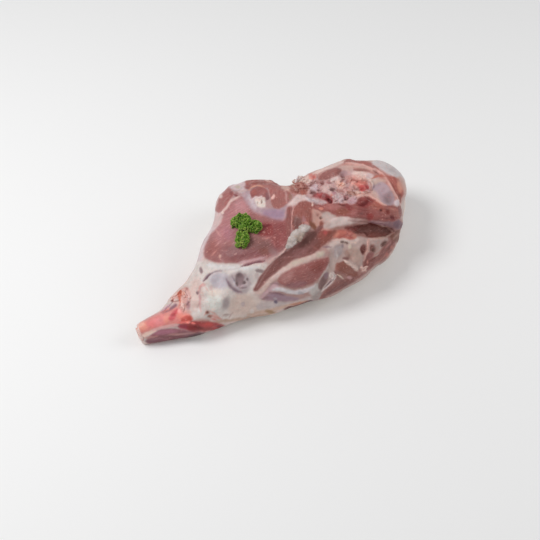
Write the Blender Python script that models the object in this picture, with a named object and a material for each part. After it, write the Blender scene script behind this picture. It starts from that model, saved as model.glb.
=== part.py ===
"""Raw leg of lamb, a whole leg on the bone, lying on its outer side with a sprig of parsley.

The leg lies along X: the sawn shank is at low X and the rump end at high X. +Y is the far side,
towards the flank, and +Z is up. The meat is one loft whose cross-sections run along X. Its
muscles, seams, hollows and torn places are relief, placed by x, the distance from the shank end,
and g, the distance round the girth from the crest line, positive towards the near side.
Lengths below are millimetres unless a name says otherwise.
"""

import math
import random

import bmesh
import bpy
import numpy as np
from mathutils import Matrix, Vector
from mathutils.bvhtree import BVHTree

MM = 0.001

# The loft. Each station: x, near edge y, far edge y, crest y, crest z, height of the widest
# place on the near side, and on the far side.
LEG_LENGTH = 360.0
STATIONS = (
    (0, -10, 6, -2, 27, 13, 14),
    (30, -22, 9, -3, 32, 15, 17),
    (55, -33, 18, -4, 42, 19, 21),
    (80, -38, 28, -5, 56, 23, 26),
    (105, -42, 51, 0, 66, 26, 28),
    (137, -54, 79, 5, 78, 29, 30),
    (162, -60, 108, 10, 84, 31, 30),
    (187, -66, 110, 12, 88, 32, 30),
    (211, -70, 97, 12, 90, 33, 31),
    (235, -70, 77, 12, 91, 34, 34),
    (265, -65, 74, 12, 90, 36, 38),
    (300, -53, 69, 12, 86, 38, 42),
    (330, -28, 55, 14, 80, 40, 44),
    (360, -4, 45, 18, 72, 42, 45),
)
SIDE_POWER = 2.3
UPPER_POWER = 2.1
LOWER_POWER = 2.4
SINK = 8.0  # how far the round underside would reach below the surface it is pressed flat on

# The rounded rump end and the sawn shank end.
RUMP_START = 318.0
RUMP_POWER = 2.5
SHANK_RIM = 1.5
SHANK_RIM_SCALE = 0.92

# Rings along the leg, as (up to x, spacing), and points round each half of a ring.
RING_SPACING = ((90, 4.7), (200, 4.6), (RUMP_START, 3.7))
RUMP_RINGS = 10
UPPER_POINTS = 23
LOWER_POINTS = 6
LOWER_HEIGHT = 6.0
FINE_POINTS = 400
UNDERSIDE_FADE = 12.0

# Rounded muscles and lumps: x, g, half length, half width, turn in degrees, height.
# A negative height is a hollow.
SWELLS = {
    "flank muscle": (150, -14, 60, 44, 20, 3.5),
    "flank lump left": (178, -60, 13, 12, 0, 2.5),
    "flank lump middle": (191, -45, 12, 11, 0, 2.5),
    "flank lump right": (201, -28, 11, 10, 0, 3.0),
    "fat dimple": (183, -37, 8, 7, 0, -3.0),
    "flank corner": (174, -97, 9, 13, 0, 3.5),
    "finger muscle": (206, 13, 10, 20, -15, 3.0),
    "almond muscle": (176, 69, 38, 14, 6, 4.0),
    "low muscle": (221, 89, 19, 13, 10, 3.0),
    "edge muscle": (247, 106, 32, 12, -14, 3.0),
    "fat field": (250, 73, 24, 14, 12, 2.5),
    "membrane hollow": (297, 20, 20, 20, 0, -5.0),
    "rump pad": (338, -12, 24, 34, 0, 1.5),
    "rump meat": (326, 28, 10, 22, 0, -2.0),
    "top muscle": (272, -26, 30, 11, 0, 4.0),
    "top peak": (300, -42, 10, 9, 0, 3.0),
    "kneecap": (91, 27, 17, 13, 10, 4.0),
    "knee knuckle": (92, -1, 16, 9, 10, 3.0),
    "knee hollow": (115, 31, 9, 9, 0, -4.5),
    "shank spur": (47, -15, 8, 7, 0, 1.0),
    "heel of the shank": (52, 24, 24, 10, 25, 2.5),
}

# Seams, ridges and hollows that follow a path: half width, height, then the points (x, g).
RUNS = {
    "flank seam": (4.0, -2.6, ((96, -24), (113, 7), (142, 25), (166, 38))),
    "finger seam": (2.6, -2.2, ((206, -8), (194, 12), (182, 28))),
    "fat rope": (4.6, 4.6, ((168, 38), (180, 35), (193, 33), (207, 31))),
    "dark valley": (8.0, -3.0, ((118, 46), (150, 48), (183, 47), (208, 52), (236, 56))),
    "cream seam": (3.2, 1.6, ((108, 50), (126, 50), (140, 53), (176, 61), (206, 62))),
    "tendon": (3.2, 2.2, ((138, 60), (152, 76), (167, 92), (192, 101))),
    "fork seam": (3.6, -2.6, ((222, 60), (212, 73), (204, 83), (192, 97), (184, 110))),
    "fork branch": (3.2, -2.4, ((205, 81), (211, 98), (224, 124))),
    "fat curl": (2.6, 3.2, ((200, 98), (208, 90), (214, 88))),
    "dark hollow": (9.0, -12.0, ((254, 55), (270, 63), (288, 71), (303, 78))),
    "hollow ridge": (5.0, 5.0, ((217, 37), (234, 37), (251, 41), (267, 47), (283, 56), (306, 68))),
    "lumpy muscle": (9.0, 4.0, ((243, 25), (262, 27), (277, 37), (292, 48), (307, 58))),
    "blood pit": (4.0, -5.5, ((226, -1), (233, 8), (237, 16))),
    "pink ridge": (4.0, 4.0, ((290, -33), (304, -18), (312, -6), (317, 14), (316, 32), (313, 48))),
    "flank notch": (11.0, -8.5, ((215, -36), (224, -58), (233, -90), (239, -125))),
    "knee arc": (3.0, -2.8, ((77, -6), (86, -8), (97, -4), (111, 8), (124, 19))),
    "shank groove": (2.6, -2.0, ((4, 12), (22, 16), (42, 25), (60, 33))),
    "shank ridge": (3.2, 1.6, ((4, 19), (24, 24), (44, 33), (60, 40))),
    "skin edge": (3.0, 1.8, ((70, 48), (92, 66), (124, 93), (158, 117), (215, 126), (255, 117), (300, 100))),
}

# Small holes in the torn muscle: x, g, radius, depth.
HOLES = (
    (249, 26, 4.0, 3.0),
    (263, 24, 4.5, 4.0),
    (273, 32, 4.0, 4.0),
    (285, 40, 4.0, 3.5),
    (295, 49, 3.5, 3.5),
)

# Torn and spongy places: x, g, half length, half width, lump radius, lump height, lump count.
CRAGS = {
    "torn joint": (252, -2, 40, 21, 8.0, 3.8, 110),
    "ragged step": (238, -40, 24, 12, 6.5, 3.0, 46),
    "flank cut edge": (186, -62, 34, 15, 6.5, 2.6, 40),
    "lumpy muscle": (276, 38, 34, 13, 6.0, 2.6, 44),
    "fat and membrane": (252, 76, 30, 18, 6.0, 1.8, 46),
    "shank tissue": (54, -8, 15, 11, 5.5, 1.8, 30),
    "knee tissue": (72, 14, 22, 26, 6.0, 1.6, 50),
    "rump edge": (318, 8, 16, 44, 7.0, 1.8, 40),
}
CRAG_SEED = 41

# Broad unevenness of the fat-covered outer side.
WAVE_LENGTH = 46.0
WAVE_HEIGHT = 1.3

# The sawn shank bone and the spongy bone at the hip joint.
GAP = 0.3
SHANK_BONE_START = (-0.8, -1.8, 13.6)
SHANK_BONE_END = (60.0, -5.5, 17.5)
SHANK_BONE_RADII = (7.6, 6.8)
BONE_SIDES = 26
BORE_OVERRUN = 4.0
MARROW_RADIUS = 3.0
MARROW_DEPTH = 4.0
HIP_BONE_PLACE = (288.0, 6.0)
HIP_BONE_RADII = (13.0, 12.0, 15.0)
HIP_BONE_PROUD = 3.5
HIP_BONE_KNOBS = 14
HIP_BONE_KNOB_HEIGHT = 1.1
HIP_BONE_KNOB_POWER = 8
HIP_BONE_SEED = 7

# The sprig of parsley: curly lobes on the flank muscle, as (x, y, radius, height).
PARSLEY_LOBES = (
    (142.5, 28.2, 7.4, 7.5),
    (146.8, 23.3, 7.6, 8.0),
    (153.8, 10.0, 6.8, 6.0),
    (134.3, 4.1, 7.8, 7.5),
    (145.0, 16.0, 7.4, 7.0),
)
PARSLEY_CENTRE = (144.5, 16.0)
PARSLEY_GAP = 0.6
PARSLEY_EDGE = 1.6
PARSLEY_RINGS = 11
PARSLEY_SPOKES = 54
PARSLEY_CURLS = 15
PARSLEY_CURL_SIZES = (1.8, 2.8)
PARSLEY_CURL_HEIGHT = 1.7
PARSLEY_SPREAD = 1.15
PARSLEY_RUFFLE = 0.055
PARSLEY_SEED = 23

SMOOTH_ANGLE = math.radians(50)
CAST_HEIGHT = 1.0  # metres, well above the leg


def monotone_curve(places, values, at):
    """A smooth curve through the values that never swings past them."""
    step = np.diff(places)
    slope = np.diff(values) / step
    tangent = np.zeros(len(values))
    tangent[0] = slope[0]
    tangent[-1] = slope[-1]
    for i in range(1, len(step)):
        if slope[i - 1] * slope[i] > 0:
            before = 2 * step[i] + step[i - 1]
            after = step[i] + 2 * step[i - 1]
            tangent[i] = (before + after) / (before / slope[i - 1] + after / slope[i])
    i = np.clip(np.searchsorted(places, at, side="right") - 1, 0, len(step) - 1)
    t = (at - places[i]) / step[i]
    value = (2 * t**3 - 3 * t**2 + 1) * values[i] + (3 * t**2 - 2 * t**3) * values[i + 1]
    bend = (t**3 - 2 * t**2 + t) * tangent[i] + (t**3 - t**2) * tangent[i + 1]
    return value + bend * step[i]


def section(x, angle):
    """y and z of the plain cross-section at x, before the ends are rounded off."""
    table = np.array(STATIONS, float)
    sizes = [monotone_curve(table[:, 0], table[:, c], np.array([x]))[0] for c in range(1, 7)]
    near, far, crest, top, near_height, far_height = sizes
    side = np.cos(angle)
    lift = np.sin(angle)
    width = np.where(side > 0, far - crest, crest - near)
    middle = np.where(side > 0, far_height, near_height)
    y = crest + width * np.sign(side) * np.abs(side) ** (2 / SIDE_POWER)
    above = middle + (top - middle) * np.abs(lift) ** (2 / UPPER_POWER)
    below = middle - (middle + SINK) * np.abs(lift) ** (2 / LOWER_POWER)
    z = np.maximum(np.where(lift > 0, above, below), 0)
    return y, z, crest, top


def half_ring(x, towards):
    """Points from the crest down to the middle of the underside, and their distance g."""
    angle = np.pi / 2 - towards * np.linspace(0, np.pi, FINE_POINTS)
    y, z, crest, top = section(x, angle)
    length = np.concatenate([[0], np.cumsum(np.hypot(np.diff(y), np.diff(z)))])
    low = np.argmax(z < LOWER_HEIGHT)
    upper = np.linspace(0, length[low], UPPER_POINTS + 1)
    lower = np.linspace(length[low], length[-1], LOWER_POINTS + 1)
    at = np.concatenate([upper, lower[1:]])
    return np.interp(at, length, y), np.interp(at, length, z), at, crest, top


def end_scale(x):
    """How far the cross-section is drawn in at the two ends of the leg."""
    if x < SHANK_RIM:
        return SHANK_RIM_SCALE + (1 - SHANK_RIM_SCALE) * x / SHANK_RIM
    if x > RUMP_START:
        t = (x - RUMP_START) / (LEG_LENGTH - RUMP_START)
        return max(0.0, 1 - t**RUMP_POWER) ** (1 / RUMP_POWER)
    return 1.0


def ring_places():
    """x of each ring."""
    places = [0.0, SHANK_RIM]
    for end, spacing in RING_SPACING:
        count = round((end - places[-1]) / spacing)
        places += list(np.linspace(places[-1], end, count + 1)[1:])
    for i in range(1, RUMP_RINGS + 1):
        turn = math.pi / 2 * i / (RUMP_RINGS + 0.7)
        places.append(RUMP_START + (LEG_LENGTH - RUMP_START) * math.sin(turn))
    return places


def plain_leg():
    """The smooth loft: points in rings, and the x and g of each."""
    rings = []
    girths = []
    for x in ring_places():
        far_y, far_z, far_g, crest, top = half_ring(x, 1)
        near_y, near_z, near_g, _, _ = half_ring(x, -1)
        y = np.concatenate([far_y, near_y[-2:0:-1]])
        z = np.concatenate([far_z, near_z[-2:0:-1]])
        scale = end_scale(x)
        y = crest + (y - crest) * scale
        z = top / 2 + (z - top / 2) * scale
        rings.append(np.column_stack([np.full(len(y), x), y, z]))
        girths.append(np.concatenate([-far_g, near_g[-2:0:-1]]))
    points = np.array(rings)
    return points, points[:, :, 0], np.array(girths)


def outward_normals(points):
    """Normals of the grid of rings, pointing out of the meat."""
    along = np.gradient(points, axis=0)
    around = np.roll(points, -1, axis=1) - np.roll(points, 1, axis=1)
    normals = np.cross(along, around)
    return normals / np.maximum(np.linalg.norm(normals, axis=2, keepdims=True), 1e-9)


def distance_to_path(x, g, path):
    """Distance from each (x, g) to a path of straight runs, and how far along it that is."""
    best = np.full(x.shape, np.inf)
    along = np.zeros(x.shape)
    for i, (start, end) in enumerate(zip(path[:-1], path[1:])):
        run_x = end[0] - start[0]
        run_g = end[1] - start[1]
        part = ((x - start[0]) * run_x + (g - start[1]) * run_g) / (run_x**2 + run_g**2)
        part = np.clip(part, 0, 1)
        distance = np.hypot(x - start[0] - part * run_x, g - start[1] - part * run_g)
        closer = distance < best
        best = np.where(closer, distance, best)
        along = np.where(closer, (i + part) / (len(path) - 1), along)
    return best, along


def swell(x, g, place):
    """A rounded rise or hollow."""
    at_x, at_g, half_length, half_width, turn, height = place
    turn = math.radians(turn)
    u = (x - at_x) * math.cos(turn) + (g - at_g) * math.sin(turn)
    v = (g - at_g) * math.cos(turn) - (x - at_x) * math.sin(turn)
    inside = np.clip(1 - (u / half_length) ** 2 - (v / half_width) ** 2, 0, 1)
    return height * inside**1.5


def run(x, g, place):
    """A ridge or a groove along a path, tapering at both ends."""
    half_width, height, path = place
    distance, along = distance_to_path(x, g, path)
    taper = np.clip(np.minimum(along, 1 - along) * 6, 0, 1) ** 0.5
    taper = 0.35 + 0.65 * taper
    return height * taper * np.exp(-((distance / half_width) ** 2))


def crags(x, g, place, draw):
    """Lumps and pits scattered over an oval place."""
    at_x, at_g, half_length, half_width, radius, height, count = place
    total = np.zeros(x.shape)
    for _ in range(count):
        turn = draw.uniform(0, 2 * math.pi)
        reach = math.sqrt(draw.random())
        lump_x = at_x + half_length * reach * math.cos(turn)
        lump_g = at_g + half_width * reach * math.sin(turn)
        lump_radius = radius * draw.uniform(0.7, 1.25)
        lump_height = height * draw.choice((-1, 1)) * draw.uniform(0.4, 1)
        squared = ((x - lump_x) ** 2 + (g - lump_g) ** 2) / lump_radius**2
        total += lump_height * np.clip(1 - squared, 0, 1) ** 2
    return np.clip(total, -1.5 * height, 1.5 * height)


def broad_waves(points):
    """Slow unevenness in every direction."""
    x, y, z = (points[:, :, c] * 2 * math.pi / WAVE_LENGTH for c in range(3))
    waves = np.sin(x + 1.3 * np.sin(y * 0.7)) + np.sin(y * 1.1 + np.sin(z)) + np.sin(z * 0.9 + x * 0.6)
    return WAVE_HEIGHT * waves / 3


def relief(points, x, g):
    """Height of the surface above the smooth loft."""
    draw = random.Random(CRAG_SEED)
    height = broad_waves(points)
    for place in SWELLS.values():
        height += swell(x, g, place)
    for place in RUNS.values():
        height += run(x, g, place)
    for place in CRAGS.values():
        height += crags(x, g, place, draw)
    for at_x, at_g, radius, depth in HOLES:
        squared = ((x - at_x) ** 2 + (g - at_g) ** 2) / radius**2
        height -= depth * np.exp(-squared)
    return height


def leg_points():
    """The finished surface, with its underside pressed flat."""
    points, x, g = plain_leg()
    fade = np.clip(points[:, :, 2] / UNDERSIDE_FADE, 0, 1)
    end_fade = np.clip(x / UNDERSIDE_FADE, 0.15, 1)
    height = relief(points, x, g) * fade * end_fade
    moved = points + outward_normals(points) * height[:, :, None]
    moved[:, :, 2] = np.where(points[:, :, 2] <= 0, 0, np.maximum(moved[:, :, 2], 0))
    moved[0, :, 0] = 0
    return moved


def new_material(name, colour, roughness):
    material = bpy.data.materials.new(name)
    material.use_nodes = True
    shader = material.node_tree.nodes["Principled BSDF"]
    shader.inputs["Base Color"].default_value = (*colour, 1)
    shader.inputs["Roughness"].default_value = roughness
    shader.inputs["Metallic"].default_value = 0
    return material


def new_object(name, mesh, material, collection, parent):
    mesh.materials.append(material)
    mesh.shade_smooth()
    mesh.set_sharp_from_angle(angle=SMOOTH_ANGLE)
    part = bpy.data.objects.new(name, mesh)
    part.parent = parent
    collection.objects.link(part)
    return part


def new_cutter(name, mesh, collection, parent):
    cutter = bpy.data.objects.new(name, mesh)
    cutter.parent = parent
    cutter.hide_render = True
    cutter.display_type = "WIRE"
    collection.objects.link(cutter)
    return cutter


def cut(part, cutter):
    modifier = part.modifiers.new(cutter.name, "BOOLEAN")
    modifier.operation = "DIFFERENCE"
    modifier.solver = "EXACT"
    modifier.object = cutter


def mesh_from_rings(name, rings, first_pole, last_pole):
    """A closed mesh through rings of points, each end closed by a fan to its pole."""
    count, around, _ = rings.shape
    vertices = [tuple(p * MM) for p in rings.reshape(-1, 3)]
    first = len(vertices)
    vertices += [tuple(np.array(first_pole) * MM), tuple(np.array(last_pole) * MM)]
    faces = []
    for i in range(count - 1):
        for j in range(around):
            k = (j + 1) % around
            faces.append((i * around + j, i * around + k, (i + 1) * around + k, (i + 1) * around + j))
    last = (count - 1) * around
    for j in range(around):
        k = (j + 1) % around
        faces.append((first, k, j))
        faces.append((first + 1, last + j, last + k))
    mesh = bpy.data.meshes.new(name)
    mesh.from_pydata(vertices, [], faces)
    working = bmesh.new()
    working.from_mesh(mesh)
    bmesh.ops.recalc_face_normals(working, faces=working.faces)
    bmesh.ops.triangulate(working, faces=working.faces)
    working.to_mesh(mesh)
    working.free()
    return mesh


def leg_mesh():
    rings = leg_points()
    return mesh_from_rings("leg", rings, rings[0].mean(axis=0), rings[-1].mean(axis=0) + (0.8, 0, 0))


def bone_cylinder(name, radii, start, end):
    """A closed oval cylinder between two points given in millimetres."""
    start = start * MM
    end = end * MM
    working = bmesh.new()
    bmesh.ops.create_cone(
        working,
        cap_ends=True,
        segments=BONE_SIDES,
        radius1=1,
        radius2=1,
        depth=(end - start).length,
    )
    turn = (end - start).to_track_quat("Z", "Y").to_matrix().to_4x4()
    size = Matrix.Diagonal((radii[0] * MM, radii[1] * MM, 1, 1))
    bmesh.ops.transform(
        working,
        matrix=Matrix.Translation((start + end) / 2) @ turn @ size,
        verts=working.verts,
    )
    mesh = bpy.data.meshes.new(name)
    working.to_mesh(mesh)
    working.free()
    return mesh


def make_shank_bone(leg, parts, cutters, parent):
    material = new_material("sawn_bone", (0.72, 0.56, 0.42), 0.5)
    start = Vector(SHANK_BONE_START)
    end = Vector(SHANK_BONE_END)
    inwards = (end - start).normalized()
    bone = new_object(
        "shank_bone",
        bone_cylinder("shank_bone", SHANK_BONE_RADII, start, end),
        material,
        parts,
        parent,
    )
    mouth = start - inwards * BORE_OVERRUN
    marrow_radii = (MARROW_RADIUS, MARROW_RADIUS)
    marrow = bone_cylinder("marrow", marrow_radii, mouth, start + inwards * MARROW_DEPTH)
    cut(bone, new_cutter("marrow_cutter", marrow, cutters, parent))
    bore_radii = [radius + GAP for radius in SHANK_BONE_RADII]
    bore = bone_cylinder("bore", bore_radii, mouth, end + inwards * GAP)
    cut(leg, new_cutter("bore_cutter", bore, cutters, parent))


def hip_bone_mesh(name, centre, swollen):
    """A knobbly rounded piece of bone, grown by the given distance."""
    draw = random.Random(HIP_BONE_SEED)
    knobs = []
    for _ in range(HIP_BONE_KNOBS):
        towards = Vector((draw.gauss(0, 1), draw.gauss(0, 1), draw.gauss(0, 1))).normalized()
        knobs.append((towards, draw.uniform(-1, 1)))
    working = bmesh.new()
    bmesh.ops.create_icosphere(working, subdivisions=3, radius=1)
    for vertex in working.verts:
        out = vertex.co.normalized()
        lump = sum(
            size * max(0, out.dot(towards)) ** HIP_BONE_KNOB_POWER for towards, size in knobs
        )
        point = Vector([out[i] * HIP_BONE_RADII[i] for i in range(3)])
        vertex.co = point * (1 + lump * HIP_BONE_KNOB_HEIGHT / HIP_BONE_RADII[1])
    bmesh.ops.recalc_face_normals(working, faces=working.faces)
    working.normal_update()
    grown = [vertex.co + vertex.normal * swollen for vertex in working.verts]
    for vertex, place in zip(working.verts, grown):
        vertex.co = (place + centre) * MM
    mesh = bpy.data.meshes.new(name)
    working.to_mesh(mesh)
    working.free()
    return mesh


def surface_height(tree, x, y):
    """Height in millimetres of the leg's top over a place in the plan."""
    hit = tree.ray_cast(Vector((x * MM, y * MM, CAST_HEIGHT)), Vector((0, 0, -1)))
    return hit[0].z / MM


def make_hip_bone(leg, tree, parts, cutters, parent):
    x, y = HIP_BONE_PLACE
    top = surface_height(tree, x, y) + HIP_BONE_PROUD
    centre = Vector((x, y, top - HIP_BONE_RADII[2]))
    material = new_material("spongy_bone", (0.62, 0.16, 0.12), 0.4)
    new_object("hip_bone", hip_bone_mesh("hip_bone", centre, 0), material, parts, parent)
    pocket = hip_bone_mesh("pocket", centre, GAP)
    cut(leg, new_cutter("pocket_cutter", pocket, cutters, parent))


def parsley_reach(turn):
    """How far the sprig's outline lies from its centre in the given direction."""
    reach = 0.0
    for x, y, radius, _ in PARSLEY_LOBES:
        offset_x = x - PARSLEY_CENTRE[0]
        offset_y = y - PARSLEY_CENTRE[1]
        along = offset_x * math.cos(turn) + offset_y * math.sin(turn)
        across = offset_y * math.cos(turn) - offset_x * math.sin(turn)
        if abs(across) < radius:
            reach = max(reach, along + math.sqrt(radius**2 - across**2))
    ruffle = math.sin(turn * 17) + 0.6 * math.sin(turn * 29 + 1)
    return reach * (1 + PARSLEY_RUFFLE * ruffle)


def parsley_height(x, y, curls):
    """Thickness of the sprig over a place in the plan."""
    height = 0.0
    for lobe_x, lobe_y, radius, top in PARSLEY_LOBES:
        squared = ((x - lobe_x) ** 2 + (y - lobe_y) ** 2) / (radius * PARSLEY_SPREAD) ** 2
        height = max(height, top * math.sqrt(max(0, 1 - squared)))
    for curl_x, curl_y, size in curls:
        squared = ((x - curl_x) ** 2 + (y - curl_y) ** 2) / size**2
        height += PARSLEY_CURL_HEIGHT * max(0, 1 - squared) ** 1.2
    return height


def make_parsley(tree, parts, parent):
    draw = random.Random(PARSLEY_SEED)
    curls = []
    for lobe_x, lobe_y, radius, _ in PARSLEY_LOBES[:4]:
        for _ in range(PARSLEY_CURLS):
            turn = draw.uniform(0, 2 * math.pi)
            away = radius * math.sqrt(draw.random())
            place = (lobe_x + away * math.cos(turn), lobe_y + away * math.sin(turn))
            curls.append((*place, draw.uniform(*PARSLEY_CURL_SIZES)))
    upper = []
    lower = []
    for i in range(1, PARSLEY_RINGS + 1):
        part = i / PARSLEY_RINGS
        top_ring = []
        low_ring = []
        for j in range(PARSLEY_SPOKES):
            turn = 2 * math.pi * j / PARSLEY_SPOKES
            away = parsley_reach(turn) * part
            x = PARSLEY_CENTRE[0] + away * math.cos(turn)
            y = PARSLEY_CENTRE[1] + away * math.sin(turn)
            floor = surface_height(tree, x, y) + PARSLEY_GAP
            thickness = PARSLEY_EDGE + parsley_height(x, y, curls)
            top_ring.append((x, y, floor + thickness))
            low_ring.append((x, y, floor))
        upper.append(top_ring)
        lower.append(low_ring)
    rings = np.array(upper + lower[::-2])
    floor = surface_height(tree, *PARSLEY_CENTRE) + PARSLEY_GAP
    height = PARSLEY_EDGE + parsley_height(*PARSLEY_CENTRE, curls)
    top = (*PARSLEY_CENTRE, floor + height)
    mesh = mesh_from_rings("parsley", rings, top, (*PARSLEY_CENTRE, floor))
    material = new_material("parsley_leaf", (0.07, 0.20, 0.02), 0.6)
    new_object("parsley", mesh, material, parts, parent)


def centre_on_base(frame, objects):
    """Moves the frame so that the middle of the whole underside is the origin."""
    corners = np.array([vertex.co for part in objects for vertex in part.data.vertices])
    low = corners.min(axis=0)
    high = corners.max(axis=0)
    frame.location = (-(low[0] + high[0]) / 2, -(low[1] + high[1]) / 2, -low[2])


def main():
    for old in list(bpy.data.objects):
        bpy.data.objects.remove(old, do_unlink=True)
    parts = bpy.data.collections.new("leg_of_lamb")
    cutters = bpy.data.collections.new("cutters")
    bpy.context.scene.collection.children.link(parts)
    bpy.context.scene.collection.children.link(cutters)
    frame = bpy.data.objects.new("leg_frame", None)
    parts.objects.link(frame)
    meat = new_material("raw_meat", (0.38, 0.10, 0.08), 0.42)
    mesh = leg_mesh()
    tree = BVHTree.FromPolygons(
        [v.co.copy() for v in mesh.vertices],
        [tuple(p.vertices) for p in mesh.polygons],
    )
    leg = new_object("leg", mesh, meat, parts, frame)
    make_shank_bone(leg, parts, cutters, frame)
    make_hip_bone(leg, tree, parts, cutters, frame)
    make_parsley(tree, parts, frame)
    centre_on_base(frame, [o for o in parts.objects if o.type == "MESH"])
    bpy.context.view_layer.update()


main()
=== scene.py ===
"""Looks of the raw leg of lamb: its meat, fat, silverskin, bones and parsley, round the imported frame.

Features of the meat are placed by the photograph's pixels, in its 540 by 540 frame, through the
same camera that the scene renders with. Each one is fixed to the surface that it falls on. The
sides that the photograph does not show are covered with the leg's smooth outer fat.
Colours are given as sRGB values from 0 to 255, and heights in millimetres.
"""

import math
import random

import bmesh
import bpy
import numpy as np
from mathutils import Matrix, Vector
from mathutils.bvhtree import BVHTree


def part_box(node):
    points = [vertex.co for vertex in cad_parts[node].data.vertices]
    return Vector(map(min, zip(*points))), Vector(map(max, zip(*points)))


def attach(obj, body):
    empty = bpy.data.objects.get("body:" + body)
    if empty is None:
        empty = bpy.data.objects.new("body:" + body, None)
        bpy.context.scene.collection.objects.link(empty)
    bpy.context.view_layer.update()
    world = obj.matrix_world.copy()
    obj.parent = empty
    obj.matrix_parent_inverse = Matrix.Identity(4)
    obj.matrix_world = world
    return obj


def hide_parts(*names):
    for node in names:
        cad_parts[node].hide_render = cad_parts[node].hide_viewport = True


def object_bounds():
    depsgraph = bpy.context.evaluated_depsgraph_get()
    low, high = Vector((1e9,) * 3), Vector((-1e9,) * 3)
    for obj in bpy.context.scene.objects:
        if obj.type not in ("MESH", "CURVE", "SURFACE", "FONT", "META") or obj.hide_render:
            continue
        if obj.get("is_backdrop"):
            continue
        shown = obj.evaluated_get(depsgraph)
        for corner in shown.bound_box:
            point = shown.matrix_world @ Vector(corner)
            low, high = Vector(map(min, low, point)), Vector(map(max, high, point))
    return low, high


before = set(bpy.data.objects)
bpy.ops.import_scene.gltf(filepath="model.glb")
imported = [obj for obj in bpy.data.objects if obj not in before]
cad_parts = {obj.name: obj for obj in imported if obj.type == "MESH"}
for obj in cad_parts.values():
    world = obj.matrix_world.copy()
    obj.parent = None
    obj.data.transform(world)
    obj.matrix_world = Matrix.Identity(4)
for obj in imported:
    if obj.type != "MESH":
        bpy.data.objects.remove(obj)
CAD_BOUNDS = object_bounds()

MM = 0.001
IMAGE = 540

# The camera: 50 degrees above the leg, which it sees from 1.13 m, turned 31 degrees to its length.
FOCAL_PIXELS = 1007.0
SENSOR = 36.0
PITCH = math.radians(51.42)
HEADING = math.radians(30.8)
SHANK_TO_CAMERA = Vector((-0.19879, -0.53983, 0.91026))  # from the leg box's low corner

leg_low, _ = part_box("leg")
CAMERA_PLACE = Vector((leg_low.x, leg_low.y, 0)) + SHANK_TO_CAMERA

# Resolution of the meat's surface.
VOXEL = 1.25 * MM
SMOOTH_STEPS = 12

# Where the painted side gives way to the outer fat: how far the surface turns away from the camera.
FACING_EDGE = (-0.2, 0.0)
EDGE_RAGGEDNESS = 0.09
EDGE_SHIFT = 0.05
SKIN_STREAK = (0.45, 1.0, 1.0)  # the outer blotches are drawn out along the leg

# The outer side's blotches: how much the wide pattern, the fine one and nearness to the shank
# count, between which sums a blotch fades in, and its strength.
PINK_BLOTCHES = ((1, 0.4, 0.35), (0, 0.55), 0.8)
RED_BLOTCHES = ((0.8, 0.5, 0.3), (0.36, 0.72), 0.7)
TO_SHANK = (20 * MM, 150 * MM)  # from the leg's middle
VEIN_EDGES = (0.008, 0.05)
VEIN_GROUND = (-0.1, 0.4)
VEIN_STRENGTH = 0.3

# Random patterns: size in millimetres and seed.
RAGGED_EDGE = (9, 91)
OUTER_WIDE = (30, 11)
OUTER_FINE = (8, 17)
OUTER_VEINS = (26, 21)
WOBBLE_ACROSS = (5, 31)
WOBBLE_DOWN = (5, 37)
SPONGE = (5.5, 71)
FAT_LUMPS = (4.5, 53)
MEAT_WAVES = (7, 59)
MOTTLE = (9, 61)
BLOTCH = (3.2, 67)

# Heights of those patterns in millimetres, and how far they wobble the painted edges in pixels.
SPONGE_HEIGHT = 1.5
FAT_LUMP_HEIGHT = 0.35
MEAT_WAVE_HEIGHT = 0.3
WOBBLE = 0.9
MOTTLE_SHARE = 0.05
USUAL_GRAIN = 30.0  # degrees
GRAIN_STRETCH = 0.1
BED_HEIGHTS = (0.5 * MM, 8 * MM)  # the relief fades in between these, above the surface it lies on
HIDDEN_RELIEF = 0.25  # share of the relief that is kept on the outer side
SPOT_FADE = (0.7, 0.5)  # shares of a spot's soft edge that lie inside and outside it
AREA_REACH = 8  # pixels beyond a feature's points that it can cover
SPOT_REACH = 1.5  # how much further a spot can cover, in its radii

COLOURS = {
    "cream": (206, 188, 182),
    "outer fat": (232, 219, 208),
    "outer pink": (216, 168, 158),
    "outer red": (172, 98, 92),
    "outer vein": (190, 128, 122),
    "flank": (163, 107, 106),
    "silver": (180, 153, 160),
    "torn pit": (150, 96, 94),
    "torn rise": (222, 190, 184),
    "rope grey": (178, 164, 158),
    "rope white": (212, 200, 196),
    "rope brown": (170, 148, 136),
    "gristle": (214, 198, 196),
    "gristle white": (238, 230, 230),
}


def srgb_to_linear(values):
    values = np.asarray(values, float)
    return np.where(values <= 0.04045, values / 12.92, ((values + 0.055) / 1.055) ** 2.4)


def rgb(colour):
    """A named or an sRGB colour, from 0 to 1."""
    return np.array(COLOURS[colour] if isinstance(colour, str) else colour, float) / 255


def linear(colour, alpha=1.0):
    """The same colour in linear light, as a shader takes it."""
    return (*srgb_to_linear(rgb(colour)), alpha)


def path(text):
    """Points written as 'x,y x,y'."""
    return np.array([[float(value) for value in point.split(",")] for point in text.split()])


def painted(kind, name, colour, points, **values):
    """One painted feature. Its height is in millimetres, and meat is its share of bare meat."""
    usual = dict(height=0, grain=None, meat=0)
    return dict(kind=kind, name=name, colour=colour, points=path(points), **{**usual, **values})


def area(name, colour, points, soft, strength=1, **values):
    """A patch inside a closed outline, which fades over soft pixels on both sides."""
    return painted("area", name, colour, points, soft=soft, strength=strength, **values)


def line(name, colour, points, width, strength=1, soft=0.8, height=0.3, **values):
    """A strand or a groove along a path, width pixels across."""
    values = dict(values, width=width, strength=strength, soft=soft, height=height)
    return painted("line", name, colour, points, **values)


def spot(name, colour, place, radii, strength=1, turn=0, soft=0.5, **values):
    """An oval spot. soft is the share of its radius that fades."""
    values = dict(values, radii=radii, strength=strength, turn=turn, soft=soft)
    return painted("spot", name, colour, place, **values)


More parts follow.
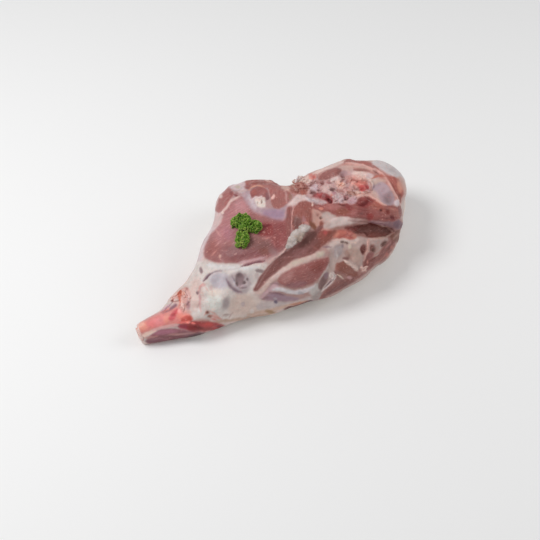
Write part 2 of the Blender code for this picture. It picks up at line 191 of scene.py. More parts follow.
# Places where the meat's own surface stands lower or higher than the CAD solid.
FORM = (
    area("spur trim", "cream", "158,311 163,305 168,300 172,295 178,289 184,284 188,279 184,276 150,300 "
         "150,310", 3, height=-3.5),
    area("rump trim", "cream", "400,196 402,202 403,214 400,220 412,220 412,196", 3, height=-3),
    area("edge fill", "cream", "398,236 394,246 387,256 378,265 384,272 404,250 404,236", 3, height=2),
    area("step trim", "cream", "287,184 291,179 297,173 304,171 307,175 303,179 298,182 292,186",
         2.5, height=-3),
)

BASE = (
    area("flank base", (176, 136, 136), "214,216 222,196 230,184 250,181 284,182 300,186 316,196 "
         "318,226 300,242 284,256 262,264 240,262 206,262 202,250", 4, 0.9, meat=0.3),
    area("middle base", (168, 128, 122), "284,256 300,236 318,214 334,210 346,230 346,250 334,284 "
         "312,304 280,306 256,296 262,272", 5, 0.8, meat=0.2),
    area("right base", (160, 112, 105), "316,206 340,198 372,196 400,202 406,226 396,250 372,274 "
         "346,294 322,304 318,286 334,258 344,236 322,228", 5, 0.9, meat=0.3),
    area("torn ground", (188, 128, 120), "290,188 296,178 314,172 336,164 350,158 372,162 396,172 "
         "406,190 404,206 380,200 350,206 316,204 298,202", 4, 0.9, meat=0.3),
)

FLANK = (
    area("flank muscle", "flank", "203,256 204,248 206,241 210,234 214,228 219,224 222,218 224,211 "
         "229,204 236,198 243,196 252,203 262,212 276,214 285,216 290,222 290,236 287,245 282,251 "
         "274,254 268,258 258,260 248,261 236,263 222,263 210,261", 1.4, grain=28, meat=1),
    # The pink and violet patches on the muscle's upper left are partly its own colour and partly a
    # painted sheen, lighter where it faces the light.
    area("flank pink sheen", (190, 130, 134), "212,236 216,228 222,220 226,210 236,200 246,206 246,216 "
         "236,226 230,238 220,244", 6, 0.85, meat=1),
    area("flank blush", (196, 140, 144), "234,200 241,198 247,203 250,212 244,214 236,210",
         3, 0.85, meat=1),
    area("flank violet sheen", (178, 118, 132), "223,228 231,226 236,232 234,240 226,241", 3, 0.6, meat=1),
    area("flank left red", (158, 94, 90), "206,252 209,244 214,240 220,246 218,255 210,258",
         3, 0.8, meat=1),
    area("flank low band", (142, 88, 90), "222,247 240,245 258,241 274,243 280,248 270,256 250,259 "
         "232,260 220,256", 4, 0.9, meat=1),
    area("flank dusk", (130, 86, 82), "238,240 250,236 262,237 272,241 270,250 256,250 244,246",
         4, 0.7, meat=1),
    area("flank low brown", (140, 82, 72), "258,249 266,247 273,250 270,254 262,256", 2.5, 0.7, meat=1),
    area("flank right red", (144, 72, 72), "270,223 280,220 289,223 290,236 284,246 276,248 270,238 "
         "266,230", 4, 0.85, meat=1),
    area("flank deep red", (146, 58, 58), "260,228 262,223 270,222 274,230 272,236 264,236 258,234",
         2.5, 0.9, meat=1),
    # A painted shadow in the dark red muscle, beside the parsley.
    spot("flank shadow", (104, 36, 40), "267,225.5", (4.5, 1.6), 0.8, turn=8, soft=0.8),
    line("flank thin seam 1", (196, 134, 128), "262.6,238.2 266,238.4 269.4,237.6 272,236.2",
         1.5, 0.9, height=0.2),
    spot("flank pale fleck 1", (196, 134, 128), "274.6,237.6", (1.3, 1.1), 0.8),
    line("flank thin seam 2", (186, 122, 116), "274,241 275.5,247", 1.6, 0.7),
    line("flank thin seam 3", (190, 126, 120), "279,233 283,234", 1.6, 0.7),
    # A painted glint on the dark red muscle.
    spot("flank glint", (206, 146, 138), "264,232", (1.6, 1.1), 0.8),
    line("flank scratch 1", (205, 142, 136), "211,256 214,253 217,250", 1.6, 0.8),
    spot("flank fat dot", (200, 154, 144), "220,256.5", (1.6, 1.8), height=0.4),
    line("flank scratch 2", (208, 154, 150), "215,229 218,233 221,237", 2, 0.8, height=0.2),
    line("flank scratch 3", (206, 152, 150), "215,246 221,241", 2, 0.75, height=0.2),
    line("flank scratch 4", (150, 92, 98), "216,226.5 222,227.5", 1.6, 0.7, height=-0.2),
    line("flank scratch 5", (196, 140, 138), "219,250 224,251 228,250", 1.4, 0.5),
    area("left skin", (208, 188, 190), "192,274 197,258 199,248 203,238 208,227 213,214 217,209 221,212 "
         "222,219 218,226 212,232 208,238 205,245 203,252 202,264 195,278", 1.8),
    area("left skin pink", (206, 172, 168), "215,214 220,212 223,218 220,225 214,229 212,222", 2.5, 0.7),
    area("corner meat", (166, 100, 97), "224,186 229,186 232,190 234,194 231,198 229,202 226,206 "
         "222,211 218,213 215,210 217,204 219,198 221,192", 1, height=0.5, meat=1),
    spot("corner meat dark", (134, 74, 74), "231,193", (1.8, 2.2), 0.8),
    line("corner rim", (200, 172, 166), "214,211 216,204 218,197 221,191 225,186", 1.8, height=0.4),
    line("corner fat", (216, 180, 174), "221,213.5 224,210.5 228,206 230,202 234,199 240,197",
         2.6, height=0.7),
    spot("corner fat tip", (226, 200, 192), "223,212.5", (1.6, 1.2), height=0.4),
    spot("corner dark", (136, 80, 82), "235.5,195", (2.4, 1.3), turn=-30, height=-0.7),
    spot("corner dark 2", (140, 90, 92), "237,192.8", (1.4, 0.9), turn=-20, height=-0.4),
    area("corner silver", (200, 178, 180), "225,187 231,182 240,179 248,179 246,185 249,190 243,194 "
         "236,192 231,189", 1.4, height=0.4),
    spot("corner tan", (190, 172, 156), "238,187.5", (2.8, 1.8), 0.8, turn=-10),
    line("corner thread", (198, 166, 158), "236,191.5 242,191 247,191.5", 1.3, 0.8, height=0.3),
    line("corner streak", (218, 196, 198), "232,187.6 237,185 243,184", 1.5, 0.8, height=0.3),
    line("corner crease", (156, 122, 122), "232.6,190 236,191.8 239.6,190.6", 1.2, 0.7, height=-0.3),
    area("silverskin", "silver", "241,194 250,190 255,196 259,206 268,208 278,209 288,206 293,202 "
         "289,212 285,221 276,219 264,215 256,214 249,208 244,200", 2.2, 0.95, height=0.2),
    area("silverskin lilac", (160, 130, 150), "262,211 272,209 284,210 285,215 282,220 274,219 264,216",
         2.5, 0.85),
    area("silverskin pale", (202, 186, 190), "247,195 252,195 258,202 257,210 253,208 249,202", 1.8, 0.8),
    line("silverskin edge", (196, 150, 152), "288,206 286,212 284,219", 1.8, 0.7),
    area("lump top", (168, 106, 100), "244,180 250,177 262,177 270,178 280,181 290,183 290,188 280,188 "
         "266,188 254,187 248,188", 1.2, height=0.2, meat=1),
    area("lump left", (154, 92, 89), "251,190 256,187 262,187 267,190 269,196 266,199 262,196 257,197 "
         "252,199 250,194", 0.9, height=0.8, meat=1),
    spot("lump left red", (168, 96, 88), "254.5,192.5", (2.6, 2.8), 0.7),
    line("lump left rim", (212, 148, 126), "249,190 251,187.5 255,186.2 260,186 264,187.5",
         1.6, height=0.4),
    line("lump left top", (136, 68, 58), "252,183.5 258,182.5 265,184", 2.4, 0.9, height=0),
    area("lump left dark", (144, 80, 78), "244.6,184.6 250,183.5 251,187 248,190 245.4,188.6",
         1.5, 0.85, height=-0.6),
    line("lump crown", (212, 170, 158), "264,180 268,181.5 272,182.5", 1.6, height=0.3),
    area("lump right", (168, 106, 101), "266,184 276,183 287,187 291,193 289,202 284,207 278,209.5 "
         "273,208 271,202 270,194", 0.9, height=0.8, grain=80, meat=1),
    area("lump right low", (158, 100, 94), "272,201 277,199 284,200 283,206 278,208.5 273,207",
         1.6, 0.8, meat=1),
    line("lump pale stripe", (200, 156, 152), "285,191 286,197 286.5,203", 2.2, 0.8, height=0.2),
    area("lump top rag", (206, 168, 154), "280,185 288,186 293,190 292,193 285,191 281,189",
         1, 0.85, height=0.5),
    line("lump top thread", (228, 180, 170), "284,192 288,190 292,190.5", 1.4, height=0.5),
    spot("lump dusk", (160, 118, 104), "290,197", (2.2, 3.2), 0.8, turn=15),
    # A painted shadow in the gap beside the lump, which is also sunk a little.
    area("gap shadow", (136, 92, 94), "265.8,193 268,193.5 269.4,197 268,200 265.5,199.5 265.8,196",
         1, height=-1),
    area("gap pale", (228, 182, 174), "270,199 272,197 273.5,194.5 275.5,195 275,198 272.5,200.5",
         0.8, height=0.8),
    area("cream fat", (226, 211, 202), "254.5,199.5 257,198.5 259.5,200 262,197.5 265.5,198 265,201 "
         "266,204 265,207.5 261,208.2 257.5,207 255.5,203.5", 0.8, height=1.2),
    area("cream fat warm", (222, 192, 182), "255,199 258,198 260,200 264,197 265,200 262,202 257,202",
         1, 0.6),
    line("cream flare", (230, 208, 206), "252.6,199.4 256,197.6 259,198.8 262,196.6",
         2.2, 0.9, height=0.4),
    spot("cream fat pit", (168, 146, 136), "262,202.5", (0.9, 2.2), turn=10, height=-0.8),
    spot("cream fat pit 2", (186, 162, 154), "257.5,203.5", (0.9, 1.3), height=-0.4),
    line("left rim", (200, 170, 168), "215.9,208.6 217.3,201 219.5,196.2 223,192 227.6,188.4",
         2, 0.85, soft=1, height=0.2),
    spot("left knob", (216, 192, 186), "221.2,196.4", (1.8, 2.4), 0.9, turn=30, height=0.4),
)

KNEE = (
    area("knee white", (210, 198, 193), "186,290 192,272 197,260 206,263 222,265 240,264 254,266 "
         "268,262 264,270 256,284 251,291 256,300 264,310 240,318 225,321 207,319 192,318 187,304", 2),
    area("knee pinkish", (214, 186, 178), "190,284 196,276 202,284 204,296 200,308 192,312 188,300",
         3, 0.8),
    area("knee milk", (215, 214, 208), "206,298 214,292 221,296 222,304 217,311 209,310",
         3.5, 0.9, height=0.6),
    area("knee warm", (222, 204, 192), "208,290 216,289 222,293 216,297 209,296", 3, 0.8),
    area("knee band", (213, 207, 206), "206,263 222,265 240,266 256,267 262,266 254,270 238,271 222,269 "
         "208,268", 1.6, height=0.5),
    area("knee tan", (212, 188, 177), "228,302 238,292 250,293 258,302 262,312 244,317 230,317", 4, 0.85),
    area("knee grey right", (186, 174, 172), "246,272 256,272 252,286 246,294 242,290", 3, 0.7),
    line("flank fringe", (192, 154, 158), "238,263 248,261 258,259 266,257", 2.6, 0.8),
    line("red slit", (112, 64, 72), "241,266 247,264.5 252,263 258,262 265,260.5", 1.9, height=-1.4),
    line("slit lip", (200, 150, 152), "240,264 248,262.5 256,260.5", 1.2, 0.8, height=0.4),
    line("knee arc", (120, 92, 100), "203,281 206,277.5 209,274.5 213,272.5", 2.6, height=-1.2),
    line("knee arc thin", (152, 132, 138), "212,272.5 217,271 222,270.5", 1.8, height=-0.6),
    line("knee arc faint", (190, 178, 178), "222,270.5 232,269.5 243,268", 1.2, 0.7, height=-0.2),
    area("knee lilac", (184, 174, 182), "208,279 212,274 219,272 227,274 231,280 229,287 221,289 212,286",
         2.5, 0.9, height=0.5),
    spot("knee mark", (142, 124, 127), "201,270", (1.7, 3.6), turn=12, height=-0.7),
    area("hollow shade", (170, 152, 155), "228,277 232,273 236,273 239,271.5 245,273 250,277 251,285 "
         "247,292 240,295 232,292 227,285", 2, 0.7),
    area("hollow dark", (146, 122, 125), "235.5,276 237,273.5 240,273 243.5,275 244,279 243,284 "
         "240,286.5 237,286 235.5,282", 1.4, 0.95, height=-1.2),
    line("hollow arc 0", (140, 122, 130), "232.5,276 234,280.5 235.5,285", 1.5, 0.85, height=-0.4),
    # A groove whose darker colour is partly painted shade.
    line("hollow groove shade", (134, 112, 120), "227,279 229,284 232,288 236,291 241,292",
         2.8, soft=1.1, height=-0.7),
    line("hollow lilac", (176, 152, 160), "238.5,285.6 242,285.3 246,286", 1.5, height=0.4),
    line("hollow arc 2", (120, 96, 102), "239,287.8 243,287.8 246.5,287.2", 1.4, height=-0.5),
    line("hollow ridge 1", (184, 168, 176), "230.5,277 233,282 235.5,287 239.5,290", 1.8, height=0.5),
    spot("hollow bright", (200, 186, 190), "234.5,283.5", (1.5, 2.1), soft=0.8, height=0.4),
    spot("hollow pit 1", (108, 88, 90), "244,282.5", (1.9, 1.5), soft=0.8, height=-0.8),
    spot("hollow pit 2", (128, 110, 112), "247.5,279.5", (1.2, 1.7), soft=0.8, height=-0.5),
    spot("hollow pit 3", (130, 108, 110), "239.5,275.5", (3, 2.2), 0.9, soft=0.8, height=-0.6),
    spot("hollow pit 4", (116, 98, 98), "237.8,283.5", (1.1, 2.2), 0.8, soft=0.8, height=-0.4),
    spot("grey spot", (166, 151, 151), "226,303.5", (3.6, 5.8), 0.95, turn=-20, soft=0.9, height=-0.4),
    spot("knee speck 1", (138, 110, 112), "197.5,292.5", (1.7, 1.9), height=-0.5),
    line("knee specks", (178, 142, 144), "202,285 199,291 201,297 200,303 197,308",
         1.6, 0.6, height=-0.2),
    spot("knee pink 1", (208, 160, 156), "203,285.5", (3, 1.7), 0.8, turn=20),
    spot("knee pink 2", (206, 172, 170), "211,288", (2.2, 2.6), 0.6),
    spot("knee brown", (158, 102, 90), "207.5,312.5", (2.2, 1.9), 0.9, soft=1, height=-0.5),
    spot("knee brown deep", (120, 76, 68), "207.8,312.3", (1.1, 1), 0.8, height=-0.3),
    spot("knee brown 2", (158, 104, 92), "209.4,316.6", (2.2, 1.3), 0.9, soft=0.9, height=-0.4),
    line("knee graze 1", (206, 134, 122), "204,315.4 205.6,313.6 206,311", 1.5, 0.7),
    line("knee graze 2", (200, 112, 104), "210.6,318.4 214,319.2 217.6,320.6", 2, 0.85),
    line("knee graze 3", (210, 150, 138), "209.6,311 213,312.8 217,315.4 220.6,319", 1.4, 0.8),
    line("knee graze 4", (168, 132, 124), "222.6,315.6 225.6,314 229,314.8", 1.4, 0.75, height=-0.2),
    line("knee graze 5", (170, 128, 122), "229.4,317.6 230.8,314.4 233,313", 1.3, 0.75, height=-0.2),
    line("knee graze 6", (176, 132, 120), "221,320.6 226,319.6 230,320.4", 1.5, 0.75, height=-0.2),
    line("knee graze 7", (214, 150, 144), "203.6,283.4 200.4,286.4 198,290.6", 1.5, 0.8),
    line("knee graze 8", (216, 160, 152), "205,286.4 207.6,290.4", 1.5, 0.75),
    line("knee graze 9", (206, 150, 150), "198.4,293 200.6,299 200,306 200.6,312", 1.4, 0.7),
    spot("knee pale bead", (232, 210, 200), "213,309.4", (2.3, 1.2), 0.8, turn=-20, height=0.3),
    line("knee smear", (206, 140, 130), "210,315 215,317 221,319", 2.8, 0.8),
    spot("knee fleck", (140, 120, 120), "260,271", (4.6, 2), 0.85, turn=-8, height=-0.6),
    spot("knee fleck 2", (170, 150, 150), "257,276", (2.6, 3.4), 0.5),
    spot("knee lilac dot", (180, 162, 166), "243,304", (2.2, 2.8), 0.6),
    spot("knee white bit", (222, 208, 202), "252,311", (2.2, 2.6), height=0.5),
    spot("knee crease", (176, 156, 150), "226,315", (3, 1.6), 0.6, height=-0.3),
    spot("knee left dark", (172, 132, 134), "188,304", (2.4, 4.6), 0.8),
    line("knee low edge", (182, 150, 132), "214,322 230,320.5 246,318.5 262,315.5 276,311.5",
         3, 0.85, soft=1.3),
)

SHANK = (
    area("shank salmon", (222, 138, 132), "137,325 150,317 160,312 170,307 178,305 186,311 192,317 "
         "188,322 176,324 162,326 152,330 144,335 138,332", 1.4, grain=20, meat=1),
    # The cream and orange at the shank's tip are partly a painted highlight.
    area("shank orange highlight", (236, 158, 138), "138,325 143,322 147,323 147,328 143,331 139,330", 2.4, 0.85),
    area("shank tip highlight", (230, 182, 166), "138.5,325 141,322.5 145,321.5 144.5,324.5 141,326.5 139,328",
         1.6, 0.8),
    area("shank rose", (222, 134, 136), "148,321 154,318.6 162,315.5 166,317 165,323 160,326 152,327 "
         "148,325", 2.6, 0.85),
    area("shank coral", (222, 120, 118), "147,324 151,321.5 155,322 155,325.6 150,327.5", 2.4, 0.7),
    area("shank peach", (236, 150, 134), "163,317 168,313 170,316 169,322 164,323", 1.8, 0.85),
    area("shank crimson", (208, 76, 86), "170,316 173,311.5 177,309 179,307.5 178,311 176,316 174,320 "
         "170,320.5 168.5,318.5", 1.6, meat=1),
    area("shank crimson deep", (168, 62, 66), "171.5,315 174,312.5 176,313 174.5,316 172,316.5",
         1.1, 0.9, height=-0.4),
    area("shank apricot", (228, 134, 120), "176,314 180,312.5 186,313.5 190,314.5 191,317 184,319 "
         "178,320", 2.2, 0.9, height=0.3),
    area("shank dusty", (200, 150, 142), "181,309 186,308.5 190,310 192,313.5 187,313.5 182,312.5",
         2, 0.85),
    spot("shank pink gleam", (246, 160, 154), "179,311", (1.8, 2.2), soft=0.9, height=0.4),
    area("shank red", (202, 90, 80), "180.5,319 184,316.6 188,315.6 191.5,316.6 193,319.4 191,321.4 "
         "186,322 182,321.6", 1.8, meat=1),
    area("shank brick", (184, 80, 70), "187.6,317.6 190.6,316.8 192.6,319 191.4,321 188.6,320.6",
         1.5, 0.85),
    line("shank upper edge", (206, 158, 158), "144,321 150,317.5 156,315 163,311.5",
         2, 0.7, soft=1.2, height=0.2),
    area("shank lilac", (150, 98, 106), "146,340 150,335 158,330 166,328.5 178,328.5 188,331 196,331 "
         "202,333.5 192,338 180,342 160,344 147,344", 1.2, grain=10, meat=1),
    area("shank mauve", (162, 108, 124), "153,333 160,330 170,329 178,330 176,333.5 166,334 156,335",
         1.6, 0.85),
    line("shank stripe 1", (180, 132, 130), "168,334.6 178,334.2 188,333.6 196,332.6",
         2.2, 0.85, height=0.3),
    line("shank stripe 2", (184, 134, 130), "144.5,338 150,337.2 158,336.4", 2.2, 0.9, height=0.3),
    line("shank stripe 3", (126, 80, 82), "158,337 170,336.5 184,335.8", 1.8, 0.85, height=-0.3),
    line("shank low plum", (124, 80, 90), "146,341.5 156,341.2 166,341", 3, 0.85, soft=1.4),
    line("shank low dark", (84, 58, 62), "165,342 176,340.6 186,338.6 195,335.6 204,332.6",
         3.2, 0.9, soft=1.6),
    area("shank blood band", (176, 72, 72), "178,326 186,322.5 197,320.5 208,321 218,323 226,326 "
         "220,329 208,331 196,332 186,330", 1.4, meat=1),
    area("shank plum band", (150, 62, 76), "176.5,326 180,324.5 186,324.5 189,327 187,330 180,329",
         1.3, 0.9),
    area("shank blood dark 1", (128, 48, 50), "187,327.5 190,325.5 196,325 202,327 203,329.4 198,331.6 "
         "193,332 188,330", 2, 0.85, height=-0.4),
    line("shank blood dark 3", (108, 40, 40), "194.6,326.4 198.6,327.6 203,328.6",
         2.6, 0.85, soft=1.4, height=-0.3),
    line("shank shore", (190, 140, 130), "197,320 202,320.4 208,320.9 213,321.8", 2.4, 0.75, soft=1.6),
    spot("shank blood dark 2", (114, 52, 60), "220,326.5",
         (3.4, 1.3), 0.85, turn=-5, soft=0.8, height=-0.4),
    spot("shank blood bright", (196, 84, 80), "208,324.5", (5.5, 2.6), turn=3, soft=0.9),
    line("shank low brown", (138, 70, 64), "200,329.8 206,329.6 212,328.6", 2.2, 0.8),
    # Painted highlights along the wet red shank.
    line("shank highlight", (226, 112, 106), "178,323.4 182,322.9 186,322.2 190,322.2",
         2.4, soft=1.2, height=0.5),
    spot("shank highlight 2", (240, 146, 136), "188.4,322.2", (2.4, 1.4), soft=0.9, height=0.3),
    spot("shank highlight 3", (226, 120, 112), "193.4,323.2", (2.2, 1.4), soft=0.9, height=0.3),
    area("shank cream ridge", (240, 206, 192), "142,336 143.5,332.5 148,330.6 154,329 157,330.6 "
         "152,333.5 147,335.8 144,338", 1.4, height=0.4),
    line("shank cream ridge 2", (224, 174, 172), "153,330.5 159,328 166,326.6 173,325.6 178,325.4",
         2.6, soft=1, height=0.5),
    line("shank rim", (232, 206, 200), "138,326 139,332 141,338 144,343", 2.8, height=0.3),
    area("upper tissue", (214, 168, 160), "169,299 175,293 182,288 189,287 191,296 190,304 186,309 "
         "180,310 177,308 174,303", 1.4, height=0.4, meat=0.4),
    area("tissue amber", (208, 114, 94), "177.5,291 180,289.5 182,291.5 181.5,295 181,299 181,303 "
         "179.5,303 179,298 177.5,295", 1.1, height=-0.4, meat=0.8),
    spot("tissue amber deep", (174, 90, 70), "180,292", (1.3, 1.6), soft=0.8),
    spot("tissue peach", (234, 176, 160), "183.2,293.5", (1.7, 1.9), soft=0.8, height=0.4),
    line("tissue bright 1", (240, 200, 192), "171,298.5 173.5,296.3 176.5,294", 2.6, height=0.6),
    spot("tissue brown", (158, 104, 98), "172.5,301", (1.8, 1.5), soft=0.9, height=-0.5),
    area("tissue grey", (208, 180, 174), "174,299 178,298 179,302 177,305.5 174.5,303",
         1.2, 0.9, height=0.3),
    line("tissue white 2", (234, 194, 184), "181.5,299 182,303 183,308", 2.8, height=0.6),
    line("tissue white 3", (226, 188, 182), "186,291 188,295 189,299", 2.6, height=0.4),
    spot("tissue dark", (182, 126, 122), "187,288.8", (1.5, 1.4), soft=0.9, height=-0.3),
    spot("tissue dark 2", (196, 144, 140), "187,295", (1.5, 1.2), 0.8, soft=0.9),
    area("tissue shade", (184, 140, 144), "186,301 189,300 190.5,304 189,310 186.5,309",
         1.4, 0.9, height=-0.3),
    line("tissue vein", (214, 120, 110), "180,304 179,308", 1.6),
    area("dark web", (146, 108, 118), "169,308.5 172,305 175.5,303.5 177,306 173,308.5 170,310",
         1, height=-0.5),
    line("web edge", (200, 154, 168), "161,311 165,308.6 168,306 171,303.5", 1.8, height=0.4),
    line("web dusk", (144, 96, 104), "163,313 168,311 172,309.5", 1.8, 0.8),
)

MIDDLE = (
    area("finger muscle", (157, 92, 84), "294,208 298,203 305,200 311,202 314,208 313,217 311,225 "
         "306,223 302,225 298,229 293,231 291,226 292,216", 1, height=0.4, grain=80, meat=1),
    area("finger low", (116, 72, 68), "293,217 299,217 303,222 299,228 294,230", 2, 0.85, meat=1),
    area("finger right", (146, 86, 76), "305,206 312,206 313,216 310,222 306,216", 2, 0.6, meat=1),
    area("finger left strip", (152, 92, 88), "287,208 292,204 292,215 291,228 289,238 286,234 286,220",
         1, grain=85, meat=1),
    line("finger pale line", (196, 140, 134), "295,204 293,210 292,217 291.5,225 292,231",
         1.7, height=0.5),
    area("finger tear", (166, 120, 122), "302.5,215.5 304.5,217 306,220 307,223 304,222.5 302,221",
         1, 0.9),
    # A painted highlight on the finger muscle.
    line("finger highlight", (200, 142, 132), "304,222 307,222.8 309,224", 1.8, 0.9, height=0.3),
    area("white patch", (216, 190, 186), "286,206 292,200 297,194 302,194 309,197 312,200 304,200 "
         "298,203 293,207", 1.4, height=0.8),
    area("frill", (188, 144, 134), "311,209 316,208.5 320,211 322,213.5 325,216 324,221 321,225 318,229 "
         "314,226 312,221 312,215", 1.4, height=0.4),
    spot("frill ring", (168, 126, 118), "317.6,214.8", (2.4, 2.8), soft=0.8, height=-0.3),
    spot("frill core", (146, 102, 94), "317.6,214.8", (1, 1.2), soft=0.8, height=-0.4),
    spot("frill hole", (110, 76, 66), "321,218", (1.8, 1.6), soft=0.8, height=-0.9),
    spot("frill lilac", (196, 160, 160), "323.6,215.5", (1.5, 2.2), soft=0.8),
    area("frill brown", (124, 76, 60), "309,220 312,222 316,224 318,229 316,232 312,228 309,224",
         1.3, height=-0.5),
    area("frill red", (130, 64, 52), "320,221 323,222 323,226 321,231 318,232 319.5,226",
         1.2, 0.9, meat=1),
    line("frill thread", (190, 144, 132), "316.5,219 316.3,224 317.5,227.5", 2.4, 0.9, height=0.3),
    area("band muscle", (130, 80, 76), "252,291 256.5,284 260,277 264,271 271,263 279,256.5 287,251 "
         "293,247 299,243 305,238 312,232 317,228 321,225 326,228 332,230 337,232 333,238 327,242 "
         "320,247 316,252 310,257 300,258 292,260 284,267 278,273.5 272,279.5 266,286 259,291.5",
         1.2, grain=37, meat=1),
    # A painted shadow below and beside the fat rope, on dark meat.
    area("rope shadow", (94, 50, 44), "299,246 304,239 308,233 313,230.5 318,233 313,240 307,246 301,249",
         2.2, 0.92, height=-0.5, meat=1),
    area("band red", (150, 74, 64), "316,238 321,230 327,227 333,231 330,238 323,242", 2, 0.85, meat=1),
    area("band brown", (122, 60, 50), "316,243 322,240 328,240 322,246 317,250 312,250", 2, 0.7, meat=1),
    line("band salmon", (186, 92, 86), "324,229 326.5,232 326,237", 3.2, 0.75, soft=1.4),
    area("band pinkish", (136, 88, 88), "290,252 300,248 308,248 306,255 294,257", 2, 0.6, meat=1),
    line("band thread 1", (162, 116, 114), "281,258 290,257 302,256", 0.9, 0.7, height=0.1),
    line("band thread 2", (168, 112, 108), "311,245 316,249 321,251", 0.9, 0.7, height=0.1),
    line("band left edge", (176, 150, 146), "256,289 262,279 267,270 273,263", 1.4, 0.5),
    area("rope bed", (186, 172, 166), "286,247 288,241 291,237 296,232 300,228 304,225 309,226 310,229 "
         "306,232 303,236 299,240 295,244 290,248", 1),
    line("rope tail", (204, 168, 162), "288,246 284,251 280,255 274,258 268,263", 2.4, height=0.5),
    spot("tail veil", (158, 122, 122), "273,252", (6, 3.6), 0.8, turn=-30, soft=0.9),
    line("cream seam", (206, 178, 170), "258,294 264,288 269,282 275,277 283,271 291,266 299,262 "
         "308,259 316,256 322,254", 5.4, soft=1.6, height=0.8),
    line("cream seam core", (192, 172, 158), "290,265 298,262 305,260", 4, 0.8, soft=1.6),
    line("cream seam rose", (214, 186, 182), "272,279 279,274 286,270", 3, 0.8, soft=1.4),
    area("seam bright end", (194, 176, 162), "315,256 319,251.5 323,250.5 325,253 322,256 318,257.5",
         1.5, height=0.6),
    area("almond muscle", (160, 100, 96), "279,277 287,271 297,267 308,263 319,259 328,257 331,260 "
         "327,267 322,274 316,281 308,285 298,288 288,287 281,284 277,281",
         1.4, height=0.4, grain=25, meat=1),
    area("almond left", (186, 140, 136), "279,278 288,272 294,271 292,279 284,283", 3, 0.7, meat=1),
    area("almond red", (140, 72, 66), "310,266 318,261 327,259 325,267 319,273 312,274", 3, 0.85, meat=1),
    area("almond low", (156, 108, 112), "284,284 296,281 308,281 306,285 296,288 288,287",
         2, 0.8, meat=1),
    area("rose strip", (192, 158, 162), "258,298 265,291 271,285 277,281 278,286 284,288 277,291 "
         "270,293 264,298", 1.8),
    line("rose strip dark", (142, 106, 112), "270,284 276,283.5 283,285", 1.6, 0.7, height=-0.3),
    line("tendon", (206, 196, 198), "273,289.5 280,289 287,291 296,292.5 304,291 310,289 315,285",
         4.2, soft=1, height=0.8),
    line("tendon gleam", (222, 212, 212), "277,289 284,290 291,292", 1.8, 0.8, height=0.4),
    spot("tendon shade", (168, 160, 166), "301,293", (3.4, 1.8), 0.7, turn=-10),
    area("under tendon", (158, 130, 142), "262,300 270,293 280,294 290,296.5 301,298 297,301 284,301.5 "
         "270,301", 1.4, 0.95, grain=0, meat=0.5),
    line("under streak 1", (132, 98, 108), "270,293 277,293.4 284,295", 1.6, 0.9, height=-0.3),
    line("under streak 2", (162, 132, 146), "272,296.4 279,295.8 286,297.5", 1.4, 0.9, height=0.2),
    spot("under tendon red", (144, 110, 114), "265,298.3", (3.8, 1.5), 0.8, turn=10),
    area("low grey", (196, 180, 178), "256,304 268,301 284,302 296,301.5 306,297 315,296 312,300 "
         "298,304 284,306 268,309 257,310", 1.6),
    spot("low dot", (112, 98, 114), "275.6,302", (2, 1.6), turn=-30, soft=0.8, height=-0.7),
    # A painted highlight above the dark dot.
    spot("low highlight", (188, 178, 184), "275,298.8", (2, 1.1), 0.7, soft=0.8, height=0.3),
    line("low cream edge", (204, 172, 156), "248,315 262,312 275,309 288,305.5 300,303 307,300.5",
         3, soft=1.2, height=0.3),
    spot("low tan", (156, 124, 92), "270,311.5", (5, 1.8), 0.8, turn=-12, soft=0.8),
    area("low dark meat", (110, 66, 62), "282,309 291,306 300,303.5 309,300.5 316,300 312,304 300,307 "
         "288,310", 1.2, meat=1),
    spot("low purple", (98, 74, 82), "312,302", (3.6, 2.4), 0.9),
    line("low orange", (186, 126, 106), "290,304.5 298,303 305,301", 1.3, height=0.2),
)

